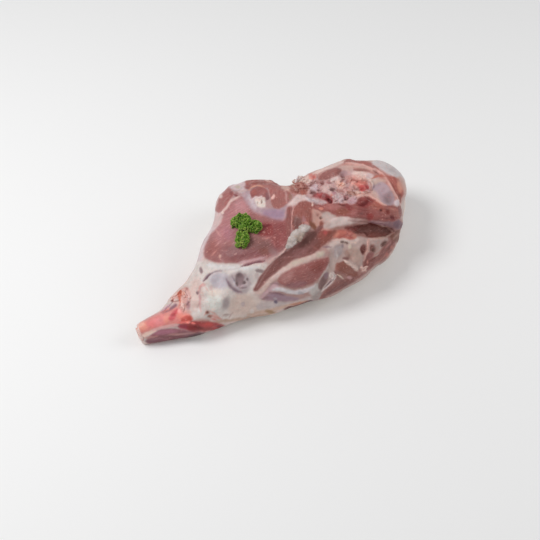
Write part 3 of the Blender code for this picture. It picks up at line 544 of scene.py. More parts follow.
RIGHT = (
    area("fork fat", (178, 156, 150), "331,250 335,244 341,243 342,254 338,261 335,268 333,276 330,282 "
         "325,287 321,293 318,301 310,301 312,292 317,284 321,277 325,270 329,262", 1.4, height=0.3),
    area("fork white", (192, 182, 178), "308,291 313,286 318,283 320,288 318,294 312,296",
         1.6, height=0.4),
    area("fork grey", (162, 149, 146), "312,294 318,290 322,294 319,300 313,301", 2, 0.9),
    area("fork dark", (140, 110, 108), "318,288 319,282 323,276 327,272 329,274 328,280 324,286 320,290",
         1, height=-0.8, meat=0.4),
    area("fork purple", (156, 130, 138), "324,273 328,272 329,276 326,280 324,277", 1.2, 0.8),
    line("fork left lip", (196, 180, 176), "319,280 322,275 326,270 328,264", 1.8, 0.7, height=0.4),
    area("low brown", (144, 88, 76), "335,268 337,263 341,260.5 345,261 349,265 354,269 358,273 358,277 "
         "351,278 345,275 339,272", 1.2, height=0.5, grain=-30, meat=1),
    area("low brown light", (142, 88, 74), "341,262 346,263 350,267 347,270 342,267", 1.6, 0.6, meat=1),
    area("low red", (142, 88, 82), "320,298 324,292 330,287 336,282 345,279 356,277 366,272 376,265 "
         "386,257 393,248 398,240 402,243 394,262 380,276 363,288 346,297 330,303 318,303",
         1.3, grain=32, meat=1),
    area("low red rose", (164, 112, 106), "338,289 350,282 362,277 366,277 360,283 348,289 338,293",
         2, 0.6, meat=1),
    area("low red deep", (124, 76, 72), "322,297 330,290 340,285 348,282 346,286 336,291 328,297",
         1.6, 0.8, meat=1),
    area("low red right", (128, 78, 72), "368,272 378,264 388,254 395,246 396,252 388,262 377,272",
         2, 0.6, meat=1),
    spot("low lilac", (200, 156, 158), "349.5,277.5", (3, 1.9), 0.8, turn=-20),
    line("low speck 1", (196, 150, 144), "355,280 358,278.5", 1.6, 0.7),
    line("low speck 2", (190, 140, 132), "340,288 344,286.5", 1.4, 0.6),
    line("low speck 3", (196, 150, 142), "373,268 376,266", 1.6, 0.7),
    line("low streak 1", (118, 70, 66), "327,295.5 337,290 348,284 357,280", 1.5, 0.6, height=-0.2),
    line("low streak 2", (176, 122, 112), "330,296.5 341,290.5 352,284.8 362,279.5",
         1.4, 0.6, height=0.2),
    area("fat field", (178, 152, 146), "326,246 333,241 341,237 350,239 358,236 366,237 374,239 382,237 "
         "389,238 385,244 380,250 377,257 371,258 367,254 363,260 362,268 357,270 351,264 345,260 "
         "341,262 337,263 334,256 330,252", 1.2, height=0.4),
    area("fat white", (198, 176, 169), "326,247 331,243 337,239 344,237.5 350,239 356,237 360,240 "
         "355,245 349,243 343,243 338,244 333,248 329,250", 1.6, height=0.6),
    area("fat grey", (160, 144, 144), "332,249 337,244 342,245 343,251 340,257 335,259", 1.8, 0.9),
    area("fat grey violet", (126, 110, 116), "341.5,244.8 343.4,244.6 343.8,247.6 342,248.4",
         1.2, 0.85, height=-0.3),
    area("fat tan", (188, 158, 147), "348,249 354,246 360,250 361,258 359,266 355,263 351,258 347,255",
         1.6, 0.85),
    area("fat tan dusk", (160, 124, 114), "344,251 348,249 350,256 354,262 349,260 345,256", 1.4, 0.7),
    line("fat ridge", (206, 176, 168), "366,239 374,239.5 382,238 389,235.5", 2.8, height=0.6),
    spot("fat mark 1", (104, 82, 76), "342.2,242", (2.2, 1.3), 0.9, turn=-10, height=-0.4),
    spot("fat mark 1b", (110, 86, 78), "346.4,243", (2.2, 1.2), 0.9, turn=-15, height=-0.4),
    spot("fat mark 2", (222, 190, 178), "345.4,239", (2.4, 1.3), 0.9, height=0.3),
    spot("fat bead 1", (212, 180, 170), "351.4,243", (1.5, 1.2), 0.85, height=0.3),
    spot("fat bead 2", (212, 180, 170), "354.6,242.8", (1.5, 1.2), 0.85, height=0.3),
    spot("fat straw", (206, 190, 172), "350,246.6", (1.7, 2.2), 0.8, height=0.2),
    area("fat mark 3", (122, 76, 72), "342.4,258 345,256.8 348.4,257.6 349,259.4 345.4,259.8",
         1.2, 0.85, height=-0.6),
    line("fat mark 4", (204, 190, 186), "336,252 338,256 336,260", 1.4, 0.7, height=0.3),
    line("fat mark 5", (134, 104, 110), "323,246.6 327,246.6 331,247.6", 2.2, 0.85, height=-0.4),
    area("field meat", (140, 86, 80), "362,268 364,260 371,257 377,259 381,251 387,243 393,238 400,236 "
         "398,245 391,256 382,264 371,271", 1.3, grain=45, meat=1),
    area("hole 1", (116, 60, 54), "360.6,247.5 362,245.6 364.5,244.8 366.6,247 366.8,250 364.8,253.6 "
         "362.6,254.4 361,252.6 360.4,250", 1.3, height=-1.2, meat=1),
    area("hole 1 deep", (92, 46, 40), "360.8,249.5 363,250.5 364.6,252.4 362.8,254 361.2,252.4",
         1.1, 0.8, height=-0.4),
    area("hole 2", (124, 76, 68), "369.4,246.4 371.6,244.4 374,245.4 375.4,248.4 375.4,251.4 373.6,253 "
         "371,252.4 369.4,250", 1.5, height=-0.8, meat=1),
    area("hole 2 deep", (84, 54, 46), "372.2,248.6 374.6,249 375,251.4 373.2,252.4 371.8,250.8",
         1.2, 0.85, height=-0.4),
    area("hole red", (136, 76, 74), "368,251.6 371.4,252.6 374,254 372.4,258 369,259.6 366.4,259.4 "
         "366.8,255.4", 1.4, 0.85, meat=1),
    area("hole 3", (98, 62, 54), "380.2,245.2 381.4,242.4 384.4,240.6 387,241 386.6,243.2 384.4,246 "
         "381.6,246.8", 1.3, height=-1, meat=1),
    area("field strand 1", (206, 160, 150), "367,239.6 369.4,239.6 369,244 369.4,249 367.2,253.4 "
         "365.6,257.4 364.2,261.6 362.6,261 363.6,256.6 365.2,252 367,249 366.4,244", 0.9, height=0.7),
    line("field strand 2", (130, 68, 62), "391,244 389,248.4 386.6,250.6", 1.8, 0.8, height=-0.2),
    line("field strand 3", (176, 148, 140), "378,241.6 377.4,247 376.6,252 374.4,256.4",
         3, 0.85, soft=1.4, height=0.4),
    line("field strand 4", (180, 126, 120), "390,242.4 388,245 385.6,247.6", 1.7, 0.85, height=0.3),
    spot("field red", (176, 104, 96), "386.6,254.6", (1.5, 2.2), 0.85),
    spot("field orange", (172, 108, 96), "391.6,247.4", (1.3, 2), 0.8),
    spot("field rose", (158, 100, 94), "370.6,259.6", (2.2, 2), 0.7),
    line("field streak 1", (170, 116, 106), "371,257.5 376,254.5 381,250", 1.4, 0.7, height=0.2),
    line("field streak 2", (110, 62, 56), "367,262 373,259.5 379,255.5", 1.5, 0.7, height=-0.3),
    line("field streak 3", (182, 128, 118), "374,264.5 381,259.5 387,253.5", 1.3, 0.7, height=0.2),
    line("field streak 4", (112, 64, 58), "386,250.5 391,245 395,238.5", 1.5, 0.7, height=-0.3),
    # A painted glint on the red meat.
    spot("field glint", (198, 136, 126), "367.3,262", (1.1, 1.6), 0.85, height=0.3),
    spot("field fleck 2", (160, 108, 100), "377,258", (1.8, 1.2), 0.6, height=0.3),
    area("white bits", (222, 186, 176), "361,265 363,267.5 366,265.5 369,266.5 366,269 367,272 "
         "364,270.5 361,273 361.5,269.5 359,267.5", 0.8, height=0.6),
    area("cream diagonal", (218, 190, 180), "343,259.5 348,261 352,264 355,265 359,269 358,272 "
         "354,269.5 350,266 345,263", 0.9, height=0.8),
    area("curl white", (212, 196, 192), "331,273 333,271.5 336,274 336,278 332,283 328,287 323,291 "
         "320,292 322,288.5 327,284 331,279.5 333,276.5", 1, height=0.5),
    area("curl gap", (172, 144, 146), "330,280 332,278.5 330.5,283 326,287 323.5,289 327,284",
         0.8, height=-0.5),
    line("curl cream", (216, 192, 176), "337,274.5 340,276 343,279", 2.2, height=0.7),
    line("curl hook", (222, 206, 198), "331,273 329.5,276 331,277.5", 1.4, height=0.5),
    line("skin edge", (186, 158, 152), "400.6,229 398.6,236 396.8,241 394.3,247 391.3,252.5 387.6,257.2 "
         "383.6,260.8 379.4,263.6 375,267.2 371.5,269.8 366.5,274.2 360,279.6 352.6,284.2 343.6,289.4 "
         "333.6,294.6 325.4,298.4", 2.8, soft=1.2, height=0.2),
    line("skin edge bright", (234, 214, 208), "401.2,228 399.2,236 397.2,241.6 394.6,247.4 391.6,252.8 "
         "388,257.4", 2.2, 0.95, soft=1, height=0.2),
    # The big hollow's dark reds and browns are partly the meat's colour and partly painted shade in the
    # recess. The darkest marks along its upper lip and in its right corner are painted shadow.
    area("big hollow", (118, 66, 58), "343,227.8 350,226.6 358,225.6 363,224.4 369,223.6 374,223.3 "
         "380,224.6 386,227 391,230 394.5,232 391,233.6 388,235.4 384,236.6 377,237.6 371,237.4 "
         "366.6,236.6 365.4,233.4 361,232.4 355,233.6 351,231", 1.2, height=-0.8, meat=1),
    area("big hollow shade", (92, 38, 34), "368,224 373,223.6 378,225.4 377,227.2 372,226.8 368.6,226.4",
         1.2, 0.95, height=-0.4),
    area("big hollow red", (124, 48, 44), "344,228 350,227 357,226 361,227 358,230 352,230.4 347,229.4",
         1.4, 0.9, height=-0.3, meat=1),
    line("big hollow crest", (96, 46, 42), "352,228 356,227.4 360,226.8", 1.8, 0.8, height=-0.3),
    area("big hollow floor", (134, 82, 74), "369,233.5 376,234 383,233.5 387,233 385,236 377,237 "
         "371,236.8", 1.6, 0.8, meat=1),
    area("hollow nook", (96, 56, 52), "363.6,231.6 366.4,231.4 367.8,234.4 366.4,236 364.6,234.4",
         1.2, 0.85),
    area("hollow corner shade", (96, 50, 46), "389.4,227.8 391.6,227.6 395.6,231.6 394,232.2 391.6,230.6",
         1, 0.9),
    area("hollow right", (128, 82, 70), "388,238 393,233 399,230 403,229 402,237 396,243", 1.4, meat=0.6),
    line("hollow right dark", (118, 72, 62), "391,237 396,232.5 400,229.5", 1.6, 0.8, height=-0.5),
    line("hollow right tan", (172, 132, 120), "393,239 398,234 402,231", 1.4, 0.8, height=0.4),
    line("hollow low lip", (176, 142, 130), "370,238.8 379,239 387,236.8 392,233.5", 1.5, height=0.4),
    line("hollow strand", (212, 168, 160), "378.4,223.6 381,224.4 384,225.6", 2, height=0.5),
    line("hollow thread", (166, 122, 114), "385.6,226.8 388,228.6 391.6,231 395,233.4", 1.4, height=0.4),
    area("orange patch", (172, 90, 80), "332,236 335,231.5 341,229.4 348,229.6 352.5,231.6 355,234 "
         "356.8,237.6 354.4,239.8 350,240.2 345,238.2 338,238.6", 1.4, height=0.3, meat=1),
    area("orange bright", (200, 118, 102), "334,234 338,231 344,230 347,232 343,235 337,236.5",
         1.4, 0.75),
    area("orange deep", (184, 126, 110), "352.4,233.6 355,234 357,237.4 355,239.4 352.6,238.4",
         1.4, 0.85),
    # A painted highlight on the orange patch.
    spot("orange highlight", (198, 124, 114), "349.4,233.4", (1.7, 1.5), 0.8),
    line("orange glint 1", (226, 156, 138), "336,234 339,233", 1.3, 0.8),
    line("orange glint 2", (222, 150, 132), "345,237.5 349,236.5", 1.3, 0.7),
    area("orange fringe", (196, 130, 114), "333,235 335,232 338,231 338.6,236 335,238 332,238.6",
         1.8, 0.7),
    area("under ridge", (138, 74, 62), "321,245 322,240 325.6,235.4 329.6,232.4 334,230.6 337,230.6 "
         "334.6,233.4 333.2,237 330,240.4 325.6,243", 1.8, 0.85, meat=1),
    spot("under ridge red", (170, 82, 80), "325.4,232", (2.6, 1.8), 0.85, turn=20),
    line("fat shore", (214, 178, 168), "333,240.6 337,239.4 341,239.6", 2, 0.8, soft=1.2, height=0.2),
    area("ridge grey", (186, 164, 158), "321,213.5 326,211.5 332,212 337,214 335,218 329,221 325,223 "
         "322,219", 1.8, 0.95, height=0.3),
    area("ridge white", (208, 186, 181), "323,228.5 325,224 329,220 334,217.5 341,216.3 350,216.5 "
         "360,218 364,220 356,222 348,225 340,226 332,228.5 326,230", 1.9, height=0.7),
    area("ridge white shade", (190, 160, 152), "323,227 326,222.5 331,221 331,225 327,229", 1.8, 0.7),
    line("ridge salmon", (216, 162, 150), "322.6,229.6 326,229 329,229.8 332,230.4",
         2.4, 0.85, soft=1.2, height=0.3),
    line("ridge tan", (156, 118, 104), "332,229.2 336,228.4 341,228", 1.6, 0.75, height=0.2),
    line("ridge stripe 1", (158, 118, 114), "348,220.3 356,221 366,222", 1.3, 0.85, height=-0.3),
    line("ridge stripe 2", (190, 148, 144), "348,218.6 357,219.4 367,220.6", 1.3, 0.8, height=0.4),
    line("ridge stripe 3", (198, 164, 160), "352,222.8 360,223.2 368,223.2", 1.3, 0.8, height=0.4),
    line("ridge stripe 4", (150, 104, 100), "350,216.8 358,217.8 368,219", 1.2, 0.7, height=-0.3),
    area("ridge lilac", (142, 104, 110), "366,222 374,219.5 386,220.5 394,218.5 402,221 404,226 399,230 "
         "392,228.5 385,225.5 374,223.5", 1.2, height=0.8),
    area("ridge lilac deep", (114, 84, 95), "392,220 400,221 403,226 398,229 393,226", 1.6, 0.9),
    line("ridge lilac gleam", (190, 150, 150), "372,221 380,221.5 388,222.5", 1.3, 0.7, height=0.3),
    line("ridge lip", (196, 162, 154), "376,224.3 381,225.5 386,227", 1.4, height=0.7),
    spot("ridge gleam", (252, 216, 210), "397.6,217.5", (2.1, 1.4), height=0.4),
)

TORN = (
    area("torn base", (198, 160, 158), "302,182 306,178 314,176 326,178 338,173 350,168 362,171 374,174 "
         "380,178 380,190 372,196 360,197 357,205 346,205 334,205 324,205 311,202 304,196",
         1.6, meat=0.15),
    area("step meat", (164, 104, 95), "289,190 291,184 296,181 303,182 308,186 309,191 306,196 300,195 "
         "295,193 291,193", 1.2, height=0.6, meat=1),
    area("step red", (166, 98, 87), "300,190 305,189 307,193 304,196 301,194", 1, 0.9),
    line("step streak 1", (184, 138, 126), "291,185 294,188 297,191", 1.8, height=0.6),
    line("step streak 2", (176, 118, 108), "294,183 297,187 299,191", 1.5, height=-0.5),
    line("step streak 3", (202, 150, 136), "298,182 301,186 303,189", 1.7, 0.8, height=0.5),
    line("step streak 4", (146, 92, 84), "303,184 306,188 308,192", 1.5, 0.8, height=-0.5),
    area("step cream", (221, 190, 180), "299,179 304,177 309,175 312,178 311,182 307,184 303,182 299,182",
         1, height=0.5),
    line("step ledge", (202, 176, 166), "290,183 295,180.5 300,179.8 304,180", 1.8, height=0.4),
    area("lumpy muscle", (150, 84, 78), "311,206 318,204 334,203.5 344,203.5 352,205 357,200 360,197 "
         "368,196 376,200 384,204 392,206 400,209 404,216 399,219 391,221 383,220.5 373,220 363,218.5 "
         "351,217.5 342,216.5 335,215.5 327,211.5 316,210", 1.1, height=0.4, grain=-6, meat=1),
    area("lumpy rose", (176, 112, 108), "313,206 324,204.5 334,204 342,205 342,208 334,210 328,210.5 "
         "320,209", 1.3, 0.9, meat=1),
    area("lumpy brown", (146, 80, 66), "335,210 343,208 349,210 350,213 345,215.5 337,215",
         1.2, 0.9, meat=1),
    area("lumpy rose 2", (166, 102, 100), "351,211 358,210 358,216 351,217", 1.2, 0.8, meat=1),
    area("lumpy plum", (132, 64, 62), "357,207 367,208 371,214 368,219 359,217", 1.6, 0.85, meat=1),
    area("lumpy bright", (172, 98, 86), "369,199 376,201 383,205 387,209 384,213 377,210 370,208",
         1.6, 0.85, meat=1),
    area("lumpy mid", (150, 82, 78), "372,210 380,212 386,216 384,219 376,217 371,214", 1.6, 0.8, meat=1),
    area("lumpy end", (162, 96, 86), "388,206 396,208 402,212 402,217 396,216 391,213", 1.2, 0.9, meat=1),
    line("lumpy stria 1", (110, 52, 50), "357,213.5 363,214.5 370,215.5", 1.2, 0.7, height=-0.3),
    line("lumpy stria 2", (160, 96, 92), "356,216 363,216.8 368,217.5", 1.1, 0.7, height=0.2),
    line("lumpy stria 3", (120, 60, 54), "374,206.5 380,207 386,209.5", 1.2, 0.6, height=-0.3),
    spot("lumpy orange", (222, 146, 130), "321.2,208.6", (2.2, 1.5), 0.95, turn=-15, height=0.3),
    line("lumpy gleam", (222, 166, 150), "376,201.5 381,203.5 386,206", 1.4, height=0.4),
    line("lumpy gleam 2", (206, 140, 128), "388,208 392,209.5 397,210.5", 1.2, 0.7, height=0.3),
    area("dark mouth", (142, 62, 60), "355.5,206 357.5,200.5 361,197.6 366,196.9 371,198.4 374,201.5 "
         "371,204 369.5,207 363,207.5", 1.3, height=-1, meat=1),
    line("mouth stria 1", (176, 100, 84), "369,205.5 374,205 380,207", 1.3, 0.8, height=0.2),
    line("mouth stria 2", (170, 92, 78), "371,202.5 376,203 381,205", 1.2, 0.7, height=0.2),
    area("dark mouth deep", (98, 30, 30), "358.5,204.8 362,201.6 366,199 370,199.4 368.6,202.4 "
         "365,205.6 361,206.4", 1.3, 0.9, height=-0.7),
    area("pit 1", (136, 50, 50), "344.5,204.5 348,204 351.5,206 353.5,209.5 350,210.5 347,208",
         1.5, 0.85, height=-0.8, meat=1),
    area("pit 2", (150, 52, 50), "367,213.5 372,213 374,217 371.5,220.5 368,220.5 366.5,217",
         1.5, 0.85, height=-0.6, meat=1),
    spot("pit 3", (92, 40, 38), "381,210", (1.5, 1.5), height=-1),
    area("pit 4", (132, 56, 50), "386,210 388.5,210 390,213 388,214.5 386,213", 0.8, height=-1),
    area("pit 5", (106, 42, 44), "389.5,216 391.5,215.2 394.6,218 393,219.6 390.5,218.8", 1, height=-0.8),
    line("pit 5 tail", (96, 44, 46), "390,217.5 386,218.5 382,218", 1.3, 0.7),
    area("blood", (158, 56, 60), "312,196 315,193 321,192.5 327,194 331,197 333,200 332,203.5 328,203.5 "
         "324,200 318,198", 1, height=-1.1, meat=1),
    area("blood deep", (84, 16, 22), "326.5,199.5 329,198.5 332,200.5 331.5,203.5 328.5,203.5",
         0.8, height=-1),
    area("blood dark", (122, 38, 42), "319,196 325,195 329,198 327,200 322,198", 1, 0.8),
    spot("blood rose", (188, 98, 98), "318,194.3", (3.4, 1.2), 0.8, turn=-6),
    spot("blood dot", (226, 142, 130), "331.5,195", (1.5, 1.7), 0.9, height=0.4),
    area("white bar", (220, 204, 206), "304,198.5 309,197.5 315,199 321,200.5 326,201 327,203.5 "
         "322,204.5 315,203.5 309,202", 1.3, height=0.3),
    line("white bar shade", (190, 162, 164), "314,202.5 320,203.8 326,204.3", 1.4, 0.8),
    spot("white bar dot", (232, 196, 186), "312,204.2", (1.1, 2.2), height=0.4),
    area("sponge lilac 1", (208, 184, 190), "310,185 316,183 319,186 318,191 313,191 310,189",
         1.2, 0.9, height=0.4),
    area("sponge dark 1", (150, 102, 100), "319.8,182 323,181 325,183.5 322.5,186 320.3,185",
         1, height=-0.7),
    area("sponge dark 1b", (164, 116, 116), "326,182 331,181.5 332,183.5 328,184.5", 0.8, height=-0.5),
    area("sponge white 1", (208, 174, 170), "323,186 329,184.5 333,186 331,189 326,192 322,191",
         1, height=0.5),
    area("sponge grey", (172, 126, 128), "317,187 321,186.5 321,194 317,193", 1, 0.8),
    area("sponge dark 2", (132, 94, 94), "330,189 333,187.3 335.5,189 334,191.5 331,191.5",
         0.9, height=-0.9),
    area("sponge rose 3", (170, 118, 112), "335.5,189.5 341,189.5 345,191 344,193.5 338,192",
         0.9, 0.9, height=-0.4),
    area("sponge mauve", (180, 130, 138), "330,192 335,191.5 337,194 333,195.5", 0.9, 0.9),
    area("sponge cream", (226, 182, 170), "335,181 340,179 345,183 346,188 341,190 336,187",
         1.2, 0.95, height=0.6),
    spot("sponge peach", (238, 184, 166), "341,184", (2.4, 2.4), 0.9, height=0.4),
    area("sponge white 2", (222, 200, 196), "330,179 336,176 340,177 337,181 331,183",
         1.2, 0.85, height=0.5),
    area("sponge dark 3", (150, 104, 100), "342,175.5 344.5,175 345.5,178.5 343,181 340,182.5 339.5,181 "
         "342,179", 1, height=-0.8),
    spot("sponge dark 3b", (150, 104, 100), "347,182", (1.2, 2.2), 0.8, height=-0.6),
    area("sponge rose", (200, 144, 138), "345,176 350,175 351,180 348,184 346,181", 1, 0.8, height=0.3),
    area("sponge rose 2", (208, 156, 150), "343,187 350,186 353,190 348,192 343,191", 1, 0.8, height=0.3),
    area("sponge dark 4", (164, 112, 112), "342.5,196.5 346,195.5 349,197 348,200 344,200",
         0.8, height=-1),
    area("sponge dark 5", (138, 96, 94), "310,191.5 314,190.5 317,192.5 313,194.5 310.5,194",
         0.8, height=-0.8),
    area("sponge dark 6", (156, 108, 108), "321,194 325,193.5 326,196 322,196", 0.8, 0.8, height=-0.6),
    area("sponge dark 7", (156, 110, 106), "306,186 311,184 315,182 314,184.5 308,187.5",
         0.8, 0.85, height=-0.6),
    area("sponge lilac 2", (208, 178, 180), "335,195 340,193 343,197 344,202 340,204 336,201",
         1.2, 0.95, height=0.5),
    area("sponge lilac 3", (196, 158, 164), "348,199 353,197 357,198 357,203 352,205 347,203",
         1.2, 0.95, height=0.4),
    area("sponge tan", (162, 112, 100), "346,191 351,190.5 356,193 357,196 351,195.5 347,194",
         0.9, 0.9, height=-0.3),
    line("sponge crack", (150, 96, 86), "352,190 356,189.8 360,190.5", 1.2, 0.8, height=-0.4),
    area("sponge cream 2", (224, 184, 170), "354,191 361,191 366,194 360,196.5 356,195",
         1.2, 0.85, height=0.4),
    line("sponge thread 1", (204, 176, 174), "325,187 329,191 333,196", 1.3, 0.7, height=0.5),
    line("sponge thread 2", (208, 180, 178), "336,191 339,194 338,199", 1.3, 0.7, height=0.5),
    line("sponge thread 3", (200, 166, 162), "316,184 320,189 324,193", 1.2, 0.7, height=0.4),
    area("salmon patch", (212, 134, 124), "309,174.8 312,173.2 316,174.4 316.4,178.6 312,180 309,177.8",
         1, 0.9, height=0.3),
    spot("salmon deep", (194, 92, 84), "313.2,176.8", (1.7, 1.5), 0.8),
    line("step top dark", (160, 104, 98), "308,172 313,170.5 318,170", 2, 0.8),
    area("top muscle", (156, 100, 95), "316.6,179.8 319.6,175.8 325,172 331,168.8 336.8,167.6 342,168.8 "
         "340.4,173 334.5,177.2 326.6,180.2", 1, height=0.5, grain=22, meat=1),
    line("top fat edge", (222, 192, 184), "313,174.6 317,172.4 322,170.6 329,167.6 336,164.4 344,161.8",
         3.4, height=0.5),
    area("top pale", (206, 172, 164), "337,167 345,164.5 353,166 354,170 347,172 341,170", 1.4, 0.9),
    area("top lilac", (176, 140, 144), "339,172 345,170 348,173 345,177 340,176", 1.4, 0.8),
    area("peak", (174, 112, 106), "343,163 347,159 354,159 356,163 348,165", 1, height=0.8, meat=1),
    area("top edge meat", (174, 106, 98), "352,160 362,160 370,162 376,166 380,170 376,170 370,166.5 "
         "362,164.5 354,164", 1, height=0.3, meat=1),
    line("top edge pale", (206, 170, 160), "346,166 355,166.4 364,168 372,170.5 377,173",
         1.4, height=0.4),
    area("top gap", (162, 110, 102), "352,169 358,168 366,169.5 372,171.5 366,172 358,171.5",
         0.9, height=-0.5, meat=0.6),
    line("top gap deep", (126, 74, 70), "373,170.5 376,172 379,173.5", 1.7, height=-0.7),
    area("over bone", (228, 198, 190), "351,172 356,170.5 363,172 370,173.5 374,176 373,182 369,181 "
         "362,178 354,177", 1.4, height=0.5),
    spot("over bone lilac", (212, 190, 192), "369,176", (3, 2.6), 0.7),
    area("bone halo", (222, 158, 146), "349,178 353,175.5 359,176.5 365,178.5 368,181 364,185 358,188 "
         "353,188 350,185", 2.4, 0.8),
    area("bone orange", (206, 118, 108), "355,180.5 360,179.8 365,181 368.5,183 366,186.5 359,188.5 "
         "356.5,186", 1.6, 0.9, meat=0.3),
    line("bone shade", (158, 84, 76), "350.8,180.4 353.5,180.2 356.8,181.6",
         2.2, 0.9, soft=1.1, height=-0.3),
    spot("bone peach", (240, 170, 158), "354,183.6", (2.3, 1.9), 0.95, height=0.3),
    area("bone red", (202, 92, 90), "359,185.5 362,185 366,184.5 368.5,185.5 367.8,188.5 365,190 "
         "362.5,192 360,191 359,188.5", 1.5, meat=0.3),
    area("bone pale", (230, 184, 172), "358.5,177 361,176.5 365,177 367.5,179 365.5,180.5 362,181 "
         "359.5,180", 1.7, 0.9),
    area("bone crimson", (160, 54, 56), "365.2,185.8 368.2,185.6 369.4,187.6 367.6,189 366,188.2",
         1.1, 0.95, height=-0.3),
    area("bone crimson 2", (182, 78, 74), "361,187.4 363.4,186.8 363.6,189.8 362,191.6 360.4,190.4",
         1.1, 0.8, height=-0.2),
    # A painted highlight on the bone's wet red end.
    line("bone highlight", (220, 128, 120), "364.8,190 365,188.6 364.8,187.2", 1.5, height=0.2),
    area("bone side", (208, 172, 160), "369.4,180 372,179.5 373.2,183 371.6,185.4 369.8,184.4", 1.3, 0.9),
    area("bone side dusk", (160, 114, 112), "369.8,186.4 372.4,185.6 373.4,187.6 371.4,189.4 369.6,188.8",
         1.3, 0.9),
    area("bone foot", (212, 160, 150), "358,193.5 363,193 368,192.4 373,191.5 375,194 369,196.4 "
         "362,196.8", 1.5, 0.9),
    spot("bone foot brown", (178, 130, 116), "366,191.7", (1.9, 1.2), 0.85),
    # A painted highlight on the bone.
    line("bone highlight 2", (238, 160, 148), "358,183.4 360.4,184.2 363,184.2", 1.8, 0.8, height=0.2),
    area("beside bone", (210, 184, 174), "371,178 377,177 377,187 373,194 370,188", 1.6, 0.85),
    line("beside bone dark", (164, 108, 100), "370,182 371.5,186 371,190", 1.5, 0.8, height=-0.4),
    area("membrane", (182, 156, 163), "372,188 374,182 380,179.5 386,183 391,190 395,198 394,205 "
         "387,206 380,202 374,197", 1.4),
    area("membrane warm", (206, 172, 160), "371,190 375,190 379,197 382,201 378,201 372,197", 1.6, 0.8),
    area("membrane dusk", (140, 116, 120), "384,195 389,191 393.5,196 393,202 388,204.5 383,201",
         3.2, 0.85),
    area("membrane rim", (204, 174, 160), "373,183 378,178 385,179 387,182 380,181 375,186", 1.2, 0.8),
    line("membrane lip", (220, 172, 162), "357,196.5 363,194.5 369,195.5 375,199 381,203 386,205",
         2.4, height=0.7),
    spot("white knob", (212, 194, 197), "396.5,203", (2.7, 3.6), turn=-10, height=0.8),
    area("rump meat", (176, 98, 87), "381,174 388,176 394,176 400,179 403,187 404,198 402,204 398.5,201 "
         "395,194 390,186 386,179", 1.2, grain=-60, meat=1),
    area("rump glow", (218, 154, 136), "396,181 401,182 403,188 401,194 398,191", 1.6, 0.85),
    area("rump low dark", (122, 62, 52), "397,194 402,195 403,202 399.5,202", 1.4, 0.8),
    area("rump low", (134, 74, 72), "397,206 402,206 405,214 402,219 398,212", 1.2, 0.9, meat=1),
    line("pink ridge", (226, 176, 167), "346,163.6 355,164.2 364,166 372,168.6 379,171.6 384,175.5 "
         "387.5,180.5 390.5,186 393.5,191.5 396.2,197 398.4,201", 2, soft=1, height=0.8),
    line("ridge red arc", (186, 112, 100), "372,178.5 376,176 381,175 385,177", 2, height=-0.3),
    area("white cap", (204, 193, 193), "370,163 376,160 386,160 395,163 402,169 406,178 405,183 401,180 "
         "396,177 391,175.5 385,172.5 378,168", 1.4, height=0.3),
    area("cap warm", (202, 160, 148), "396,177 401,176 405,182 406,192 402,190 400,183", 2, 0.8),
    spot("cap shade", (186, 176, 178), "392,170", (5, 2.6), 0.5, turn=25, soft=0.9),
)

PAINT = FORM + BASE + FLANK + KNEE + SHANK + MIDDLE + RIGHT + TORN

# Where the surface is torn and spongy.
TORN_GROUND = area(
    "torn surface", "cream", "302,183 306,177 320,178 336,176 346,170 354,176 372,178 372,194 "
    "358,196 358,206 340,204 322,203 310,200", soft=4
)
PIT_VALUES = (0.15, 0.6)  # of the sponge pattern, from none to full
RISE_VALUES = (0.1, 0.6)
PIT_STRENGTH = 0.65
RISE_STRENGTH = 0.35

ROPE_PATH = "287,247 291,242 296,237 301,232 306,229 309,227"
ROPE_OUTLINE = (
    "286,246 289,240 292,235 297,230 301,227 305,225 309,226 310,229 306,232 303,236 299,240 "
    "295,243 290,247"
)
ROPE_LUMPS = 110
ROPE_LIFTS = (0.2, 1.6)  # millimetres
ROPE_SIZES = (1.3, 2.5)

# Name, path in pixels, radius and lift in millimetres.
STRANDS = (
    ("rope_tail", "287,247 284,251 280,255 275,258", 1.1, 0.1),
    ("white_curl", "333,272 336,275 335,279 331,283 327,287 322,290.5", 1.5, 0.1),
    ("white_curl_2", "333,277 330,280 326,284 322,289", 1.2, 0.1),
    ("curl_cream", "336,274 340,276 344,279", 1.3, 0.0),
    ("cream_diagonal", "344,260.5 349,263 353,266 358,270.5", 1.6, -0.1),
    ("white_bit_1", "360,267.5 363,268 366,266.5 369,266.5", 1.2, 0.2),
    ("white_bit_2", "361.5,272.5 364,270 366,267", 1.1, 0.2),
    ("hole_strand", "368.4,240 367.5,244.5 368.3,249 366,253 364.5,257 363.7,261", 1.25, -0.2),
    ("hollow_strand", "379,222.5 384,225.5 389,229 394,232", 0.8, 0.8),
    ("finger_cord", "295,204 293,210 292,217 291.5,225 292,230", 1.0, 0.0),
    ("tissue_flake_1", "171,298 175,295 180,292", 1.1, 0.3),
    ("tissue_flake_2", "182,300 183,306 184,312", 1.2, 0.2),
    ("tissue_flake_3", "184,291 187,297 190,302", 1.3, 0.1),
    ("web_cord", "161,312.5 167,307.5 172,302.5", 0.9, 0.3),
    # The last strand lies under the shank's painted highlights and takes their colour.
    ("shank_gloss", "181,323 187,322 193,323 198,324.5", 1.2, 0.1),
)
BONE_PLACE = (362.0, 185.6)  # pixels
BONE_RADII = (8.4, 6.9)
BONE_LUMPS = 170
BONE_REACHES = (0.7, 1.25)  # share of the bone's radii
BONE_LIFTS = (-0.5, 0.6)  # millimetres
BONE_SIZES = (1.5, 2.6)
SPIKE_BASE = (296.2, 182.0)  # pixels
SPIKE_RISE = (2.8, -0.8, 10.0)  # millimetres
SPIKE_RADII = (2.1, 0.7)  # at its foot and at its tip
SPIKE_STEPS = 14

